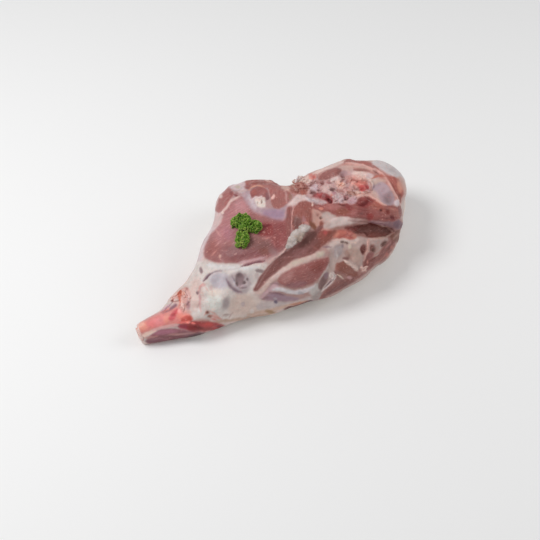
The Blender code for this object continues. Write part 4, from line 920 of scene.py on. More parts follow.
# Outline in pixels, count of lumps and their size in millimetres.
TORN_PATCHES = (
    ("306,183 314,180 326,181 338,178 350,176 352,186 350,196 340,202 334,196 322,192 308,192",
     90, (1.2, 2.6)),
    ("334,196 344,192 352,194 358,197 356,204 346,204 338,204 334,202", 30, (1.2, 2.4)),
    ("292,188 294,182 298,180 304,180 309,184 310,190 308,195 302,196 296,194", 44, (1.3, 2.6)),
    ("300,181 306,178 314,175 318,178 314,182 306,184", 30, (1.1, 2.2)),
    ("350,179 353,176 360,175 368,177 372,182 372,190 366,195 358,195 352,190 356,187 358,181 "
     "365,180 361,178 354,181", 60, (1.0, 2.0)),
    ("170,299 174,294 180,289 186,287 190,292 190,302 186,310 180,310 176,304", 36, (1.0, 2.0)),
)

# Shares of a torn lump's size: how far its balls lie apart and how deep, and how flat they lie.
TORN_SPREAD = 0.6
TORN_DEPTH = 0.3
TORN_FLATNESS = 0.5

# A tinted piece's blotches: pattern values between which they fade in, and the third colour's size.
TINT_VALUES = (-0.5, 0.5)
EXTRA_VALUES = (0.15, 0.5)
EXTRA_SIZE = 1.7
MEAT_TINT = 0.09

# The sprig's leaflets, in millimetres. LEAF_LOWEST is how far down its sides they grow.
LEAF_SPACING = 2.1
LEAF_SIZES = (1.7, 2.8)
LEAF_DEPTHS = (0.9, 1.9)
LEAF_TURN = 0.3
LEAF_THICKNESS = 0.22
LEAF_LOWEST = -0.1
CORE_DEPTH = 1.9
LEAF_STEPS = 26
LEAF_RINGS = 3

# A leaflet's edge: waves round it, and their depth as a share of its radius.
LOBES = (3, 0.16)
TEETH = (13, 0.1)
FRILL_COUNTS = (5, 6, 7)
FRILL_DEPTH = 0.42
FINE_FRILLS = (11, 0.12)
FRILL_RISE = 0.6
CUP_DEPTHS = (0.25, 0.5)
CUP_PULL = 0.25

FLOOR_REACH = 4.0  # metres
SKY_STRENGTH = 0.47

LATTICE = 32  # random values a side, before the pattern repeats
LATTICE_SHIFT = 100.5  # keeps the patterns' middle away from the origin
STRAND_SPACING = 0.7  # pixels
STRAND_TAPER = 0.6  # how much thinner a strand's tips are, as a share
STRAND_ENDS = (0.04, 0.96)
STRAND_SIZES = (0.85, 1.15)
STRAND_WANDER = 0.28
LINE_TIP = (5, 0.4)  # pixels over which a line narrows, and its width there


def round_corners(points, closed, times=2):
    """Cuts the corners of an outline or a path, so that it curves."""
    for _ in range(times):
        after = np.roll(points, -1, axis=0)
        near = points * 0.75 + after * 0.25
        far = points * 0.25 + after * 0.75
        both = np.stack([near, far], axis=1).reshape(-1, 2)
        if not closed:
            both = np.vstack([points[:1], both[1:-3], points[-1:]]) if len(points) > 2 else points
        points = both
    return points


def distance_to_runs(x, y, points, closed):
    """Distance to the nearest run between points."""
    ends = np.roll(points, -1, axis=0)
    if not closed:
        points = points[:-1]
        ends = ends[:-1]
    best = np.full(x.shape, np.inf)
    for start, end in zip(points, ends):
        step = end - start
        square = max(float(step @ step), 1e-9)
        part = np.clip(((x - start[0]) * step[0] + (y - start[1]) * step[1]) / square, 0, 1)
        away = (x - start[0] - part * step[0]) ** 2 + (y - start[1] - part * step[1]) ** 2
        best = np.minimum(best, away)
    return np.sqrt(best)


def is_inside(x, y, points):
    """Whether each place is inside the closed outline."""
    inside = np.zeros(x.shape, bool)
    ends = np.roll(points, -1, axis=0)
    for (x1, y1), (x2, y2) in zip(points, ends):
        crosses = (y1 > y) != (y2 > y)
        if y1 != y2:
            at = (x2 - x1) * (y - y1) / (y2 - y1) + x1
            inside ^= crosses & (x < at)
    return inside


def smooth_step(value, low, high):
    t = np.clip((value - low) / (high - low), 0, 1)
    return t * t * (3 - 2 * t)


def cover(feature, x, y):
    """How much of each place the feature covers, from 0 to 1."""
    points = feature["points"]
    if feature["kind"] == "spot":
        turn = math.radians(feature["turn"])
        across = x - points[0, 0]
        up = y - points[0, 1]
        u = (across * math.cos(turn) - up * math.sin(turn)) / feature["radii"][0]
        v = (across * math.sin(turn) + up * math.cos(turn)) / feature["radii"][1]
        away = np.hypot(u, v)
        inner, outer = SPOT_FADE
        return 1 - smooth_step(away, 1 - feature["soft"] * inner, 1 + feature["soft"] * outer)
    closed = feature["kind"] == "area"
    points = round_corners(points, closed)
    away = distance_to_runs(x, y, points, closed)
    if closed:
        away = np.where(is_inside(x, y, points), -away, away)
        return 1 - smooth_step(away, -feature["soft"], feature["soft"])
    from_start = np.hypot(x - points[0, 0], y - points[0, 1])
    from_end = np.hypot(x - points[-1, 0], y - points[-1, 1])
    taper, tip = LINE_TIP
    widening = smooth_step(np.minimum(from_start, from_end), 0, taper)
    half = feature["width"] / 2 * (tip + (1 - tip) * widening)
    return 1 - smooth_step(away, half - feature["soft"], half + feature["soft"])


def value_noise(points, cell, seed):
    """Smooth random values from -1 to 1, about one change a cell."""
    table = np.random.default_rng(seed).uniform(-1, 1, (LATTICE, LATTICE, LATTICE))
    place = points / cell + LATTICE_SHIFT
    base = np.floor(place).astype(int)
    part = place - base
    part = part * part * (3 - 2 * part)
    total = np.zeros(len(points))
    for corner in range(8):
        step = np.array([corner & 1, corner >> 1 & 1, corner >> 2 & 1])
        weight = np.prod(np.where(step, part, 1 - part), axis=1)
        at = (base + step) % LATTICE
        total += weight * table[at[:, 0], at[:, 1], at[:, 2]]
    return total


def layered_noise(points, cell, seed, layers=3):
    total = np.zeros(len(points))
    for i in range(layers):
        total += value_noise(points, cell / 2**i, seed + i) / 2**i
    return total / (2 - 2 ** (1 - layers))


def pattern(points, size_and_seed):
    size, seed = size_and_seed
    return layered_noise(points, size * MM, seed)


def photo_place(points):
    """Pixel of the photograph in which each point falls."""
    offset = points - np.array(CAMERA_PLACE)
    across = offset[:, 0] * math.cos(HEADING) - offset[:, 1] * math.sin(HEADING)
    ahead = offset[:, 0] * math.sin(HEADING) + offset[:, 1] * math.cos(HEADING)
    depth = ahead * math.cos(PITCH) - offset[:, 2] * math.sin(PITCH)
    up = ahead * math.sin(PITCH) + offset[:, 2] * math.cos(PITCH)
    x = IMAGE / 2 + FOCAL_PIXELS * across / depth
    y = IMAGE / 2 - FOCAL_PIXELS * up / depth
    return x, y


def seen_share(points, normals):
    """1 where the photograph shows the surface, 0 where it faces away."""
    to_camera = np.array(CAMERA_PLACE) - points
    to_camera /= np.linalg.norm(to_camera, axis=1, keepdims=True)
    facing = np.einsum("ij,ij->i", normals, to_camera)
    ragged = EDGE_RAGGEDNESS * pattern(points, RAGGED_EDGE) - EDGE_SHIFT
    return smooth_step(facing + ragged * (facing < EDGE_SHIFT), *FACING_EDGE)


def arrays_of(mesh):
    """Places and normals of a mesh's vertices."""
    count = len(mesh.vertices)
    places = np.empty(count * 3)
    normals = np.empty(count * 3, np.float32)
    mesh.vertices.foreach_get("co", places)
    mesh.vertex_normals.foreach_get("vector", normals)
    return places.reshape(-1, 3), normals.reshape(-1, 3).astype(float)


def link(piece):
    bpy.context.scene.collection.objects.link(piece)
    return piece


def keep_evaluated(piece):
    """Replaces a piece's mesh by what its modifiers make of it."""
    graph = bpy.context.evaluated_depsgraph_get()
    mesh = bpy.data.meshes.new_from_object(piece.evaluated_get(graph))
    old = piece.data
    piece.modifiers.clear()
    piece.data = mesh
    bpy.data.meshes.remove(old)


def even_mesh(piece, voxel, steps):
    """Makes a piece's mesh anew in voxels of one size, and smooths it."""
    remesh = piece.modifiers.new("remesh", "REMESH")
    remesh.mode = "VOXEL"
    remesh.voxel_size = voxel
    smooth = piece.modifiers.new("smooth", "SMOOTH")
    smooth.factor = 0.5
    smooth.iterations = steps
    keep_evaluated(piece)


def fine_copy(node, name, voxel, steps):
    """A finely and evenly meshed copy of a CAD solid, with its flat facets smoothed away."""
    piece = link(bpy.data.objects.new(name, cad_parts[node].data.copy()))
    piece.data.materials.clear()
    weld = piece.modifiers.new("weld", "WELD")
    weld.merge_threshold = 0.01 * MM
    even_mesh(piece, voxel, steps)
    return piece


def move_points(mesh, points):
    """Moves a mesh's vertices, none of them under the floor."""
    points[:, 2] = np.maximum(points[:, 2], 0)
    mesh.vertices.foreach_set("co", points.reshape(-1))
    mesh.update()


def set_attribute(mesh, name, kind, slot, values):
    field = mesh.attributes.new(name, kind, "POINT")
    field.data.foreach_set(slot, np.ascontiguousarray(values, np.float32).reshape(-1))


def set_paint(mesh, colour):
    """Stores each vertex's colour, given as sRGB from 0 to 1, in linear light."""
    paint = np.hstack([srgb_to_linear(np.clip(colour, 0, 1)), np.ones((len(colour), 1))])
    set_attribute(mesh, "paint", "FLOAT_COLOR", "color", paint)


def outer_look(points):
    """Colour of the outer side: a fat cover, thin over the muscles and towards the shank."""
    drawn_out = points * np.array(SKIN_STREAK)
    wide = pattern(drawn_out, OUTER_WIDE)
    fine = pattern(drawn_out, OUTER_FINE)
    to_shank = smooth_step(-points[:, 0], *TO_SHANK)
    colour = np.tile(rgb("outer fat"), (len(points), 1))
    for name, blotches in (("outer pink", PINK_BLOTCHES), ("outer red", RED_BLOTCHES)):
        (of_wide, of_fine, of_shank), fade, strength = blotches
        total = of_wide * wide + of_fine * fine + of_shank * to_shank
        share = smooth_step(total, *fade)[:, None] * strength
        colour = colour * (1 - share) + rgb(name) * share
    veins = np.abs(pattern(drawn_out, OUTER_VEINS))
    veins = (1 - smooth_step(veins, *VEIN_EDGES)) * smooth_step(fine, *VEIN_GROUND)
    veins = veins[:, None] * VEIN_STRENGTH
    return colour * (1 - veins) + rgb("outer vein") * veins


def paint_meat(points):
    """Colour, height in metres, share of bare meat and grain direction at each point."""
    x, y = photo_place(points)
    x = x + WOBBLE * pattern(points, WOBBLE_ACROSS)
    y = y + WOBBLE * pattern(points, WOBBLE_DOWN)
    colour = np.tile(rgb("cream"), (len(points), 1))
    height = np.zeros(len(points))
    meat = np.zeros(len(points))
    grain = np.full(len(points), USUAL_GRAIN)
    for feature in PAINT:
        reach = AREA_REACH + max(feature.get("radii", (0, 0))) * SPOT_REACH
        low = feature["points"].min(axis=0) - reach
        high = feature["points"].max(axis=0) + reach
        near = np.where((x > low[0]) & (x < high[0]) & (y > low[1]) & (y < high[1]))[0]
        share = cover(feature, x[near], y[near]) * feature["strength"]
        colour[near] += (rgb(feature["colour"]) - colour[near]) * share[:, None]
        height[near] += share * feature["height"]
        meat[near] += (feature["meat"] - meat[near]) * share
        if feature["grain"] is not None:
            grain[near] = np.where(share > 0.5, feature["grain"], grain[near])
    return colour, height * MM, meat, grain


def shape_meat(piece):
    """Paints the meat and raises or sinks its features."""
    mesh = piece.data
    points, normals = arrays_of(mesh)
    seen = seen_share(points, normals)
    colour, height, meat, grain = paint_meat(points)
    x, y = photo_place(points)
    torn = cover(TORN_GROUND, x, y) * seen
    sponge = pattern(points, SPONGE)
    pits = smooth_step(-sponge, *PIT_VALUES) * torn
    rises = smooth_step(sponge, *RISE_VALUES) * torn
    height += torn * sponge * SPONGE_HEIGHT * MM
    height += (1 - meat) * seen * pattern(points, FAT_LUMPS) * FAT_LUMP_HEIGHT * MM
    height += meat * seen * pattern(points, MEAT_WAVES) * MEAT_WAVE_HEIGHT * MM
    bed = smooth_step(points[:, 2], *BED_HEIGHTS)
    height *= (HIDDEN_RELIEF + (1 - HIDDEN_RELIEF) * seen) * bed
    mottle = MOTTLE_SHARE * pattern(points, MOTTLE)
    blotch = MOTTLE_SHARE * pattern(points, BLOTCH)
    colour *= (1 + mottle + blotch)[:, None]
    colour += (rgb("torn pit") - colour) * (pits * PIT_STRENGTH)[:, None]
    colour += (rgb("torn rise") - colour) * (rises * RISE_STRENGTH)[:, None]
    colour = outer_look(points) * (1 - seen[:, None]) + colour * seen[:, None]
    move_points(mesh, points + normals * height[:, None])
    turn = np.radians(grain)
    along = x * np.cos(turn) - y * np.sin(turn)
    across = x * np.sin(turn) + y * np.cos(turn)
    fibres = np.stack([along * GRAIN_STRETCH, across, along * 0], axis=1)
    set_paint(mesh, colour)
    set_attribute(mesh, "meat", "FLOAT", "value", meat * seen)
    set_attribute(mesh, "grain", "FLOAT_VECTOR", "vector", fibres)


class Nodes:
    """Short calls for building one material."""

    def __init__(self, name):
        self.material = bpy.data.materials.new(name)
        self.material.use_nodes = True
        self.tree = self.material.node_tree
        self.shader = self.tree.nodes["Principled BSDF"]

    def add(self, kind, inputs=(), **settings):
        node = self.tree.nodes.new("ShaderNode" + kind)
        for key, value in settings.items():
            setattr(node, key, value)
        for key, value in dict(inputs).items():
            self.set(node, key, value)
        return node

    def set(self, node, key, value):
        if isinstance(value, bpy.types.NodeSocket):
            self.tree.links.new(value, node.inputs[key])
        else:
            node.inputs[key].default_value = value

    def attribute(self, name):
        return self.add("Attribute", attribute_name=name)

    def noise(self, vector, scale, detail=3.0, roughness=0.55):
        inputs = {"Vector": vector, "Scale": scale, "Detail": detail, "Roughness": roughness}
        return self.add("TexNoise", inputs).outputs["Fac"]

    def spread(self, value, low, high, to=(0.0, 1.0)):
        """Spreads the values from low to high over the range that to gives."""
        names = ("Value", "From Min", "From Max", "To Min", "To Max")
        return self.add("MapRange", zip(names, (value, low, high, *to))).outputs["Result"]

    def math(self, operation, first, second):
        return self.add("Math", {0: first, 1: second}, operation=operation).outputs[0]

    def mix(self, share, first, second, blend="MIX"):
        node = self.add("Mix", data_type="RGBA", blend_type=blend)
        self.set(node, "Factor", share)
        self.set(node, 6, first)
        self.set(node, 7, second)
        return node.outputs[2]

    def shaded(self, colour, shade):
        """The colour made darker or lighter by a factor."""
        grey = self.add("CombineColor", {"Red": shade, "Green": shade, "Blue": shade}).outputs[0]
        return self.mix(1.0, colour, grey, "MULTIPLY")

    def bump(self, height, distance, strength):
        inputs = {"Height": height, "Distance": distance, "Strength": strength}
        return self.add("Bump", inputs).outputs["Normal"]

    def object_place(self):
        return self.add("TexCoord").outputs["Object"]

    def finish(self, **values):
        for key, value in values.items():
            self.set(self.shader, key.replace("_", " "), value)
        return self.material


def meat_material():
    """Moist raw meat: painted colour, fibres along the grain, fine mottling, small painted glints and a
    wet gloss.
    """
    n = Nodes("meat_surface")
    paint = n.attribute("paint").outputs["Color"]
    meat = n.attribute("meat").outputs["Fac"]
    grain = n.attribute("grain").outputs["Vector"]
    place = n.object_place()
    fibres = n.noise(grain, scale=1.1, roughness=0.6)
    fine = n.noise(place, scale=900.0)
    mottle = n.noise(place, scale=260.0, detail=4.0)
    dark = n.mix(n.math("MULTIPLY", meat, 0.9), paint, (0.8, 0.69, 0.68, 1), "MULTIPLY")
    light = n.mix(n.math("MULTIPLY", meat, 0.05), paint, (1.0, 0.8, 0.76, 1), "SCREEN")
    colour = n.mix(n.spread(fibres, 0.3, 0.7), dark, light)
    # Small pinkish-white painted glints on the bare meat, standing in for wet highlights.
    painted_glints = n.spread(n.noise(place, scale=430.0, detail=2.0), 0.62, 0.72, to=(0.0, 0.4))
    colour = n.mix(n.math("MULTIPLY", painted_glints, meat), colour, linear((222, 168, 158)))
    vessels = n.math("SUBTRACT", n.noise(place, scale=150.0), 0.5)
    vessels = n.spread(n.math("ABSOLUTE", vessels, 0.0), 0.006, 0.02, to=(0.3, 0.0))
    patches = n.spread(n.noise(place, scale=42.0, detail=2.0), 0.5, 0.62)
    vessels = n.math("MULTIPLY", vessels, patches)
    vessels = n.math("MULTIPLY", vessels, n.math("SUBTRACT", 1.0, meat))
    colour = n.mix(vessels, colour, linear((194, 122, 116)))
    height = n.math("MULTIPLY", fibres, meat)
    height = n.math("ADD", height, n.math("MULTIPLY", fine, 0.35))
    height = n.math("ADD", height, n.math("MULTIPLY", mottle, 0.5))
    return n.finish(
        Base_Color=n.shaded(colour, n.spread(mottle, 0.3, 0.7, to=(0.93, 1.06))),
        Roughness=n.spread(mottle, 0.3, 0.7, to=(0.42, 0.6)),
        Normal=n.bump(height, distance=0.5 * MM, strength=0.6),
        Subsurface_Weight=0.08,
        Subsurface_Radius=(1.0, 0.35, 0.25),
        Subsurface_Scale=3 * MM,
        Specular_IOR_Level=0.2,
        Coat_Weight=0.08,
        Coat_Roughness=0.2,
    )


def tissue_material():
    """Fat, tendon and torn meat: painted colour with fine lumps and a wet gloss."""
    n = Nodes("tissue_surface")
    paint = n.attribute("paint").outputs["Color"]
    place = n.object_place()
    fine = n.noise(place, scale=700.0)
    mottle = n.noise(place, scale=320.0)
    return n.finish(
        Base_Color=n.shaded(paint, n.spread(mottle, 0.3, 0.7, to=(0.86, 1.08))),
        Roughness=n.spread(mottle, 0.3, 0.7, to=(0.34, 0.5)),
        Normal=n.bump(fine, distance=0.4 * MM, strength=0.7),
        Subsurface_Weight=0.12,
        Subsurface_Radius=(1.0, 0.45, 0.35),
        Subsurface_Scale=2 * MM,
        Specular_IOR_Level=0.3,
        Coat_Weight=0.14,
        Coat_Roughness=0.18,
    )


def sawn_bone_material():
    """Sawn bone: cream, with pinker blotches and fine pores."""
    n = Nodes("sawn_bone_surface")
    place = n.object_place()
    pores = n.noise(place, scale=1400.0, detail=2.0)
    wide = n.noise(place, scale=180.0)
    colour = n.mix(n.spread(wide, 0.35, 0.65), linear((238, 214, 206)), linear((226, 182, 172)))
    colour = n.mix(n.spread(pores, 0.52, 0.66, to=(0.0, 0.5)), colour, linear((196, 126, 112)))
    return n.finish(
        Base_Color=colour,
        Roughness=n.spread(wide, 0.3, 0.7, to=(0.4, 0.6)),
        Normal=n.bump(pores, distance=0.3 * MM, strength=0.6),
        Subsurface_Weight=0.1,
        Subsurface_Radius=(1.0, 0.6, 0.4),
        Subsurface_Scale=2 * MM,
    )


def parsley_material(name, frilled):
    """Parsley: dark green inside, and lighter towards the edges of its frilled leaflets, partly painted
    shade between them and painted highlight on their tips.
    """
    n = Nodes(name)
    # Dark green, partly painted shade: it shows in the gaps between the leaflets, on the core and at each
    # leaflet's middle.
    dark = linear((42, 64, 8))
    if not frilled:
        return n.finish(Base_Color=dark, Roughness=0.6, Specular_IOR_Level=0.2)
    place = n.object_place()
    tip = n.attribute("tip").outputs["Fac"]
    patch = n.spread(n.noise(place, scale=240.0, detail=2.0), 0.45, 0.72)
    fresh = n.mix(patch, linear((100, 146, 28)), linear((184, 204, 100)))
    return n.finish(
        Base_Color=n.mix(n.spread(tip, 0.25, 0.95), dark, fresh),
        Roughness=0.45,
        Specular_IOR_Level=0.35,
        Subsurface_Weight=0.1,
        Subsurface_Radius=(0.4, 0.8, 0.2),
        Subsurface_Scale=1 * MM,
        Normal=n.bump(n.noise(place, scale=1600.0), distance=0.2 * MM, strength=0.3),
    )


class Surface:
    """The finished meat, for placing pieces by the photograph's pixels."""

    def __init__(self, piece):
        mesh = piece.data
        places = [vertex.co.copy() for vertex in mesh.vertices]
        faces = [tuple(face.vertices) for face in mesh.polygons]
        self.tree = BVHTree.FromPolygons(places, faces)

    def under_pixel(self, x, y):
        """Place and normal that a pixel falls on, or None beside the leg."""
        level = Vector((math.sin(HEADING), math.cos(HEADING), 0))
        right = Vector((math.cos(HEADING), -math.sin(HEADING), 0))
        ahead = level * math.cos(PITCH) - Vector((0, 0, math.sin(PITCH)))
        up = level * math.sin(PITCH) + Vector((0, 0, math.cos(PITCH)))
        half = IMAGE / 2
        ray = ahead + right * ((x - half) / FOCAL_PIXELS) + up * ((half - y) / FOCAL_PIXELS)
        place, normal, _, _ = self.tree.ray_cast(CAMERA_PLACE, ray.normalized())
        return None if place is None else (place, normal)

    def random_places(self, outline, dice):
        """Place after place on the meat, each under a random pixel inside the outline."""
        low = outline.min(axis=0)
        high = outline.max(axis=0)
        while True:
            x = dice.uniform(low[0], high[0])
            y = dice.uniform(low[1], high[1])
            if is_inside(np.array([x]), np.array([y]), outline)[0]:
                found = self.under_pixel(x, y)
                if found is not None:
                    yield found


def along_path(text):
    """Points spaced evenly along a rounded path, and how far along each one is, from 0 to 1."""
    points = round_corners(path(text), False)
    steps = np.hypot(*np.diff(points, axis=0).T)
    far = np.concatenate([[0], np.cumsum(steps)])
    count = max(int(far[-1] / STRAND_SPACING), 2)
    at = np.linspace(0, far[-1], count)
    places = np.stack([np.interp(at, far, points[:, i]) for i in range(2)], axis=1)
    return zip(places, at / far[-1])


def strand_balls(surface, text, radius, lift, wander, seed):
    """Balls, in millimetres, along a path on the meat that wanders by a share of a pixel."""
    dice = random.Random(seed)
    balls = []
    for (x, y), far in along_path(text):
        found = surface.under_pixel(x + dice.gauss(0, wander), y + dice.gauss(0, wander))
        if found is None:
            continue
        place, normal = found
        far = min(max(far, STRAND_ENDS[0]), STRAND_ENDS[1])
        bulge = math.sin(math.pi * far) ** 0.5
        size = radius * (1 - STRAND_TAPER + STRAND_TAPER * bulge)
        size *= dice.uniform(*STRAND_SIZES)
        balls.append((place + normal * (lift * MM), size * MM))
    return balls


def ball_mesh(name, balls, core):
    """One mesh of separate balls, and of the core that they lie on, if any."""
    mesh = bpy.data.meshes.new(name)
    shape = bmesh.new()
    if core is not None:
        shape.from_mesh(core)
    for place, radius in balls:
        matrix = Matrix.Translation(place)
        bmesh.ops.create_icosphere(shape, subdivisions=2, radius=radius, matrix=matrix)
    shape.to_mesh(mesh)
    shape.free()
    return mesh


def lumpy_piece(name, balls, voxel, steps, rough, cell, seed, core=None):
    """Balls melted into one skin, with lumps rough millimetres high and cell millimetres wide."""
    piece = link(bpy.data.objects.new(name, ball_mesh(name, balls, core)))
    even_mesh(piece, voxel * MM, steps)
    points, normals = arrays_of(piece.data)
    points += normals * (pattern(points, (cell, seed)) * rough * MM)[:, None]
    move_points(piece.data, points)
    return piece


def tint(piece, low, high, cell, seed, extra=None):
    """Paints a piece between two colours, blotch by blotch, and a third one in places."""
    points, _ = arrays_of(piece.data)
    share = smooth_step(pattern(points, (cell, seed)), *TINT_VALUES)[:, None]
    colour = rgb(low) * (1 - share) + rgb(high) * share
    if extra is not None:
        spots = layered_noise(points, cell * MM * EXTRA_SIZE, seed + 9)
        spots = smooth_step(spots, *EXTRA_VALUES)[:, None]
        colour = colour * (1 - spots) + rgb(extra) * spots
    set_paint(piece.data, colour)


def tint_as_meat(piece, seed):
    """Paints a piece with the colours that the meat has where it lies."""
    points, _ = arrays_of(piece.data)
    colour = paint_meat(points)[0]
    colour *= (1 + MEAT_TINT * pattern(points, (3, seed)))[:, None]
    set_paint(piece.data, colour)


def finish_piece(piece, node, material):
    piece.data.materials.clear()
    piece.data.materials.append(material)
    piece.data.shade_smooth()
    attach(piece, "root")
    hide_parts(node)


def make_fat_rope(surface, material):
    """The ragged roll of white fat that lies in the groove beside the flank muscle."""
    balls = strand_balls(surface, ROPE_PATH, radius=3.4, lift=-0.2, wander=0.4, seed=3)
    dice = random.Random(5)
    places = surface.random_places(round_corners(path(ROPE_OUTLINE), True), dice)
    while len(balls) < ROPE_LUMPS:
        place, normal = next(places)
        lift = dice.uniform(*ROPE_LIFTS)
        balls.append((place + normal * lift * MM, dice.uniform(*ROPE_SIZES) * MM))
    piece = lumpy_piece("fat_rope", balls, voxel=0.55, steps=7, rough=0.5, cell=3.5, seed=7)
    tint(piece, "rope grey", "rope white", cell=6, seed=13, extra="rope brown")
    finish_piece(piece, "leg", material)


def make_strands(surface, material):
    """Cords, lips and curls of fat and tendon that stand up from the meat."""
    for name, text, radius, lift in STRANDS:
        balls = strand_balls(surface, text, radius, lift, STRAND_WANDER, seed=len(name) + 3)
        piece = lumpy_piece(name, balls, voxel=0.5, steps=5, rough=0.3, cell=2.5, seed=17)
        tint_as_meat(piece, seed=19)
        finish_piece(piece, "leg", material)


def make_spike(surface, material):
    """The thin splinter of gristle that stands up from the ragged step."""
    base, _ = surface.under_pixel(*SPIKE_BASE)
    rise = Vector(SPIKE_RISE) * MM
    foot, tip = SPIKE_RADII
    shares = [i / SPIKE_STEPS for i in range(SPIKE_STEPS + 1)]
    balls = [(base + rise * share, (foot - (foot - tip) * share) * MM) for share in shares]
    piece = lumpy_piece("spike", balls, voxel=0.4, steps=3, rough=0.15, cell=2.0, seed=47)
    tint(piece, "gristle", "gristle white", cell=3, seed=49)
    finish_piece(piece, "leg", material)


def make_torn_tissue(surface, material):
    """Lumps and flakes of torn tissue round the broken joint and along the ragged step."""
    dice = random.Random(41)
    for number, (text, count, sizes) in enumerate(TORN_PATCHES):
        places = surface.random_places(path(text), dice)
        balls = []
        while len(balls) < count:
            place, normal = next(places)
            size = dice.uniform(*sizes)
            for _ in range(dice.choice((1, 2, 3))):
                shift = Vector([dice.gauss(0, size * TORN_SPREAD) for _ in range(3)])
                shift -= normal * shift.dot(normal) * TORN_FLATNESS
                balls.append((place + (shift - normal * size * TORN_DEPTH) * MM, size * MM))
        name = f"torn_tissue_{number + 1}"
        piece = lumpy_piece(name, balls, voxel=0.55, steps=9, rough=0.5, cell=3.0, seed=23 + number)
        tint_as_meat(piece, seed=29 + number)
        finish_piece(piece, "leg", material)


def make_hip_bone(surface, material):
    """The red, spongy broken end of the hip bone, bedded in torn tissue."""
    dice = random.Random(83)
    bone = fine_copy("hip_bone", "hip_bone_core", voxel=1.0 * MM, steps=6)
    balls = []
    for _ in range(BONE_LUMPS):
        turn = dice.uniform(0, 2 * math.pi)
        reach = dice.uniform(*BONE_REACHES)
        x = BONE_PLACE[0] + BONE_RADII[0] * reach * math.cos(turn)
        y = BONE_PLACE[1] + BONE_RADII[1] * reach * math.sin(turn)
        place, normal = surface.under_pixel(x, y)
        lift = dice.uniform(*BONE_LIFTS)
        balls.append((place + normal * lift * MM, dice.uniform(*BONE_SIZES) * MM))
    piece = lumpy_piece(
        "hip_bone_surface", balls, voxel=0.6, steps=9, rough=1.0, cell=4.0, seed=85, core=bone.data
    )
    bpy.data.objects.remove(bone)
    tint_as_meat(piece, seed=85)
    finish_piece(piece, "hip_bone", material)


def ruffled_leaf(shape, centre, outward, radius, dice, tips):
    """Adds one curly parsley leaflet: a small cup with a frilled and toothed edge."""
    turn = outward.to_track_quat("Z", "Y").to_matrix()
    frills = dice.choice(FRILL_COUNTS)
    phase = [dice.uniform(0, math.tau) for _ in range(3)]
    cup = dice.uniform(*CUP_DEPTHS)
    lobes, lobe_depth = LOBES
    teeth, tooth_depth = TEETH
    fine_frills, fine_depth = FINE_FRILLS
    middle = shape.verts.new(centre)
    rings = []
    for ring in range(1, LEAF_RINGS + 1):
        t = ring / LEAF_RINGS
        verts = []
        for step in range(LEAF_STEPS):
            angle = math.tau * step / LEAF_STEPS
            edge = 1 + lobe_depth * t * math.sin(lobes * angle + phase[0])
            edge += tooth_depth * t * math.sin(teeth * angle)
            frill = FRILL_DEPTH * t * t * math.sin(frills * angle + phase[1])
            frill += fine_depth * t * t * math.sin(fine_frills * angle + phase[2])
            away = radius * t * edge * (1 - CUP_PULL * t * cup)
            local = Vector((math.cos(angle) * away, math.sin(angle) * away, 0))
            local.z = radius * (cup * t * t + frill * FRILL_RISE)
            vert = shape.verts.new(centre + turn @ local)
            vert[tips] = t
            verts.append(vert)
        rings.append(verts)
    for step in range(LEAF_STEPS):
        after = (step + 1) % LEAF_STEPS
        shape.faces.new((middle, rings[0][step], rings[0][after]))
        for inner, outer in zip(rings, rings[1:]):
            shape.faces.new((inner[step], outer[step], outer[after], inner[after]))


def make_parsley():
    """The sprig of curly parsley: frilled leaflets all over a dark core of the sprig's form."""
    core = fine_copy("parsley", "parsley_core", voxel=0.7 * MM, steps=3)
    points, normals = arrays_of(core.data)
    dice = random.Random(9)
    order = list(range(len(points)))
    dice.shuffle(order)
    chosen = []
    for i in order:
        if normals[i, 2] < LEAF_LOWEST:
            continue
        if all(np.sum((points[i] - points[j]) ** 2) > (LEAF_SPACING * MM) ** 2 for j in chosen):
            chosen.append(i)
    mesh = bpy.data.meshes.new("parsley_leaves")
    shape = bmesh.new()
    tips = shape.verts.layers.float.new("tip")
    for i in chosen:
        outward = Vector(normals[i]) + Vector([dice.gauss(0, LEAF_TURN) for _ in range(3)])
        place = Vector(points[i]) - Vector(normals[i]) * dice.uniform(*LEAF_DEPTHS) * MM
        radius = dice.uniform(*LEAF_SIZES) * MM
        ruffled_leaf(shape, place, outward.normalized(), radius, dice, tips)
    shape.to_mesh(mesh)
    shape.free()
    leaves = link(bpy.data.objects.new("parsley_leaves", mesh))
    solid = leaves.modifiers.new("thickness", "SOLIDIFY")
    solid.thickness = LEAF_THICKNESS * MM
    solid.offset = 0
    keep_evaluated(leaves)
    finish_piece(leaves, "parsley", parsley_material("parsley_surface", True))
    move_points(core.data, points - normals * CORE_DEPTH * MM)
    finish_piece(core, "parsley", parsley_material("parsley_core_surface", False))


def make_leg():
    leg = fine_copy("leg", "leg_surface", VOXEL, SMOOTH_STEPS)
    shape_meat(leg)
    leg.data.materials.append(meat_material())
    leg.data.shade_smooth()
    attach(leg, "root")
    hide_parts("leg")
    return leg


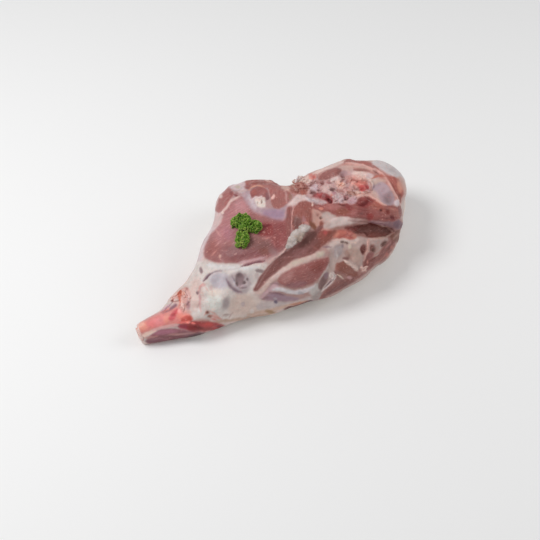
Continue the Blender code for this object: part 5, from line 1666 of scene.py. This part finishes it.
def make_camera():
    data = bpy.data.cameras.new("camera")
    data.sensor_width = SENSOR
    data.lens = FOCAL_PIXELS / IMAGE * SENSOR
    camera = link(bpy.data.objects.new("camera", data))
    camera.location = CAMERA_PLACE
    camera.rotation_euler = (math.pi / 2 - PITCH, 0, -HEADING)
    bpy.context.scene.camera = camera


def area_light(name, place, target, size, power):
    data = bpy.data.lights.new(name, "AREA")
    data.shape = "DISK"
    data.size = size
    data.energy = power
    light = link(bpy.data.objects.new(name, data))
    light.location = place
    light.rotation_euler = (Vector(target) - Vector(place)).to_track_quat("-Z", "Y").to_euler()


def make_studio():
    floor_mesh = bpy.data.meshes.new("floor")
    shape = bmesh.new()
    bmesh.ops.create_grid(shape, x_segments=1, y_segments=1, size=FLOOR_REACH)
    shape.to_mesh(floor_mesh)
    shape.free()
    floor = link(bpy.data.objects.new("floor", floor_mesh))
    n = Nodes("floor_surface")
    floor.data.materials.append(n.finish(Base_Color=(0.88, 0.88, 0.88, 1), Roughness=0.9))
    floor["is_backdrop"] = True
    world = bpy.data.worlds.new("world")
    world.use_nodes = True
    background = world.node_tree.nodes["Background"]
    background.inputs["Color"].default_value = (1, 1, 1, 1)
    background.inputs["Strength"].default_value = SKY_STRENGTH
    bpy.context.scene.world = world
    area_light("key", place=(-0.7, 0.35, 1.15), target=(0, 0, 0.04), size=0.6, power=9.3)
    area_light("fill", place=(0.9, -0.5, 0.9), target=(0.1, 0, 0.04), size=0.8, power=3.6)
    bpy.context.scene.view_settings.view_transform = "Standard"


make_camera()
make_studio()
meat_surface = Surface(make_leg())
tissue = tissue_material()
make_fat_rope(meat_surface, tissue)
make_strands(meat_surface, tissue)
make_spike(meat_surface, tissue)
make_torn_tissue(meat_surface, tissue)
make_hip_bone(meat_surface, tissue)
make_parsley()
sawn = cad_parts["shank_bone"]
sawn.data.materials.clear()
sawn.data.materials.append(sawn_bone_material())

sizes = {"cad": CAD_BOUNDS, "visual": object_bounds()}
{key: [list(corner) for corner in box] for key, box in sizes.items()}
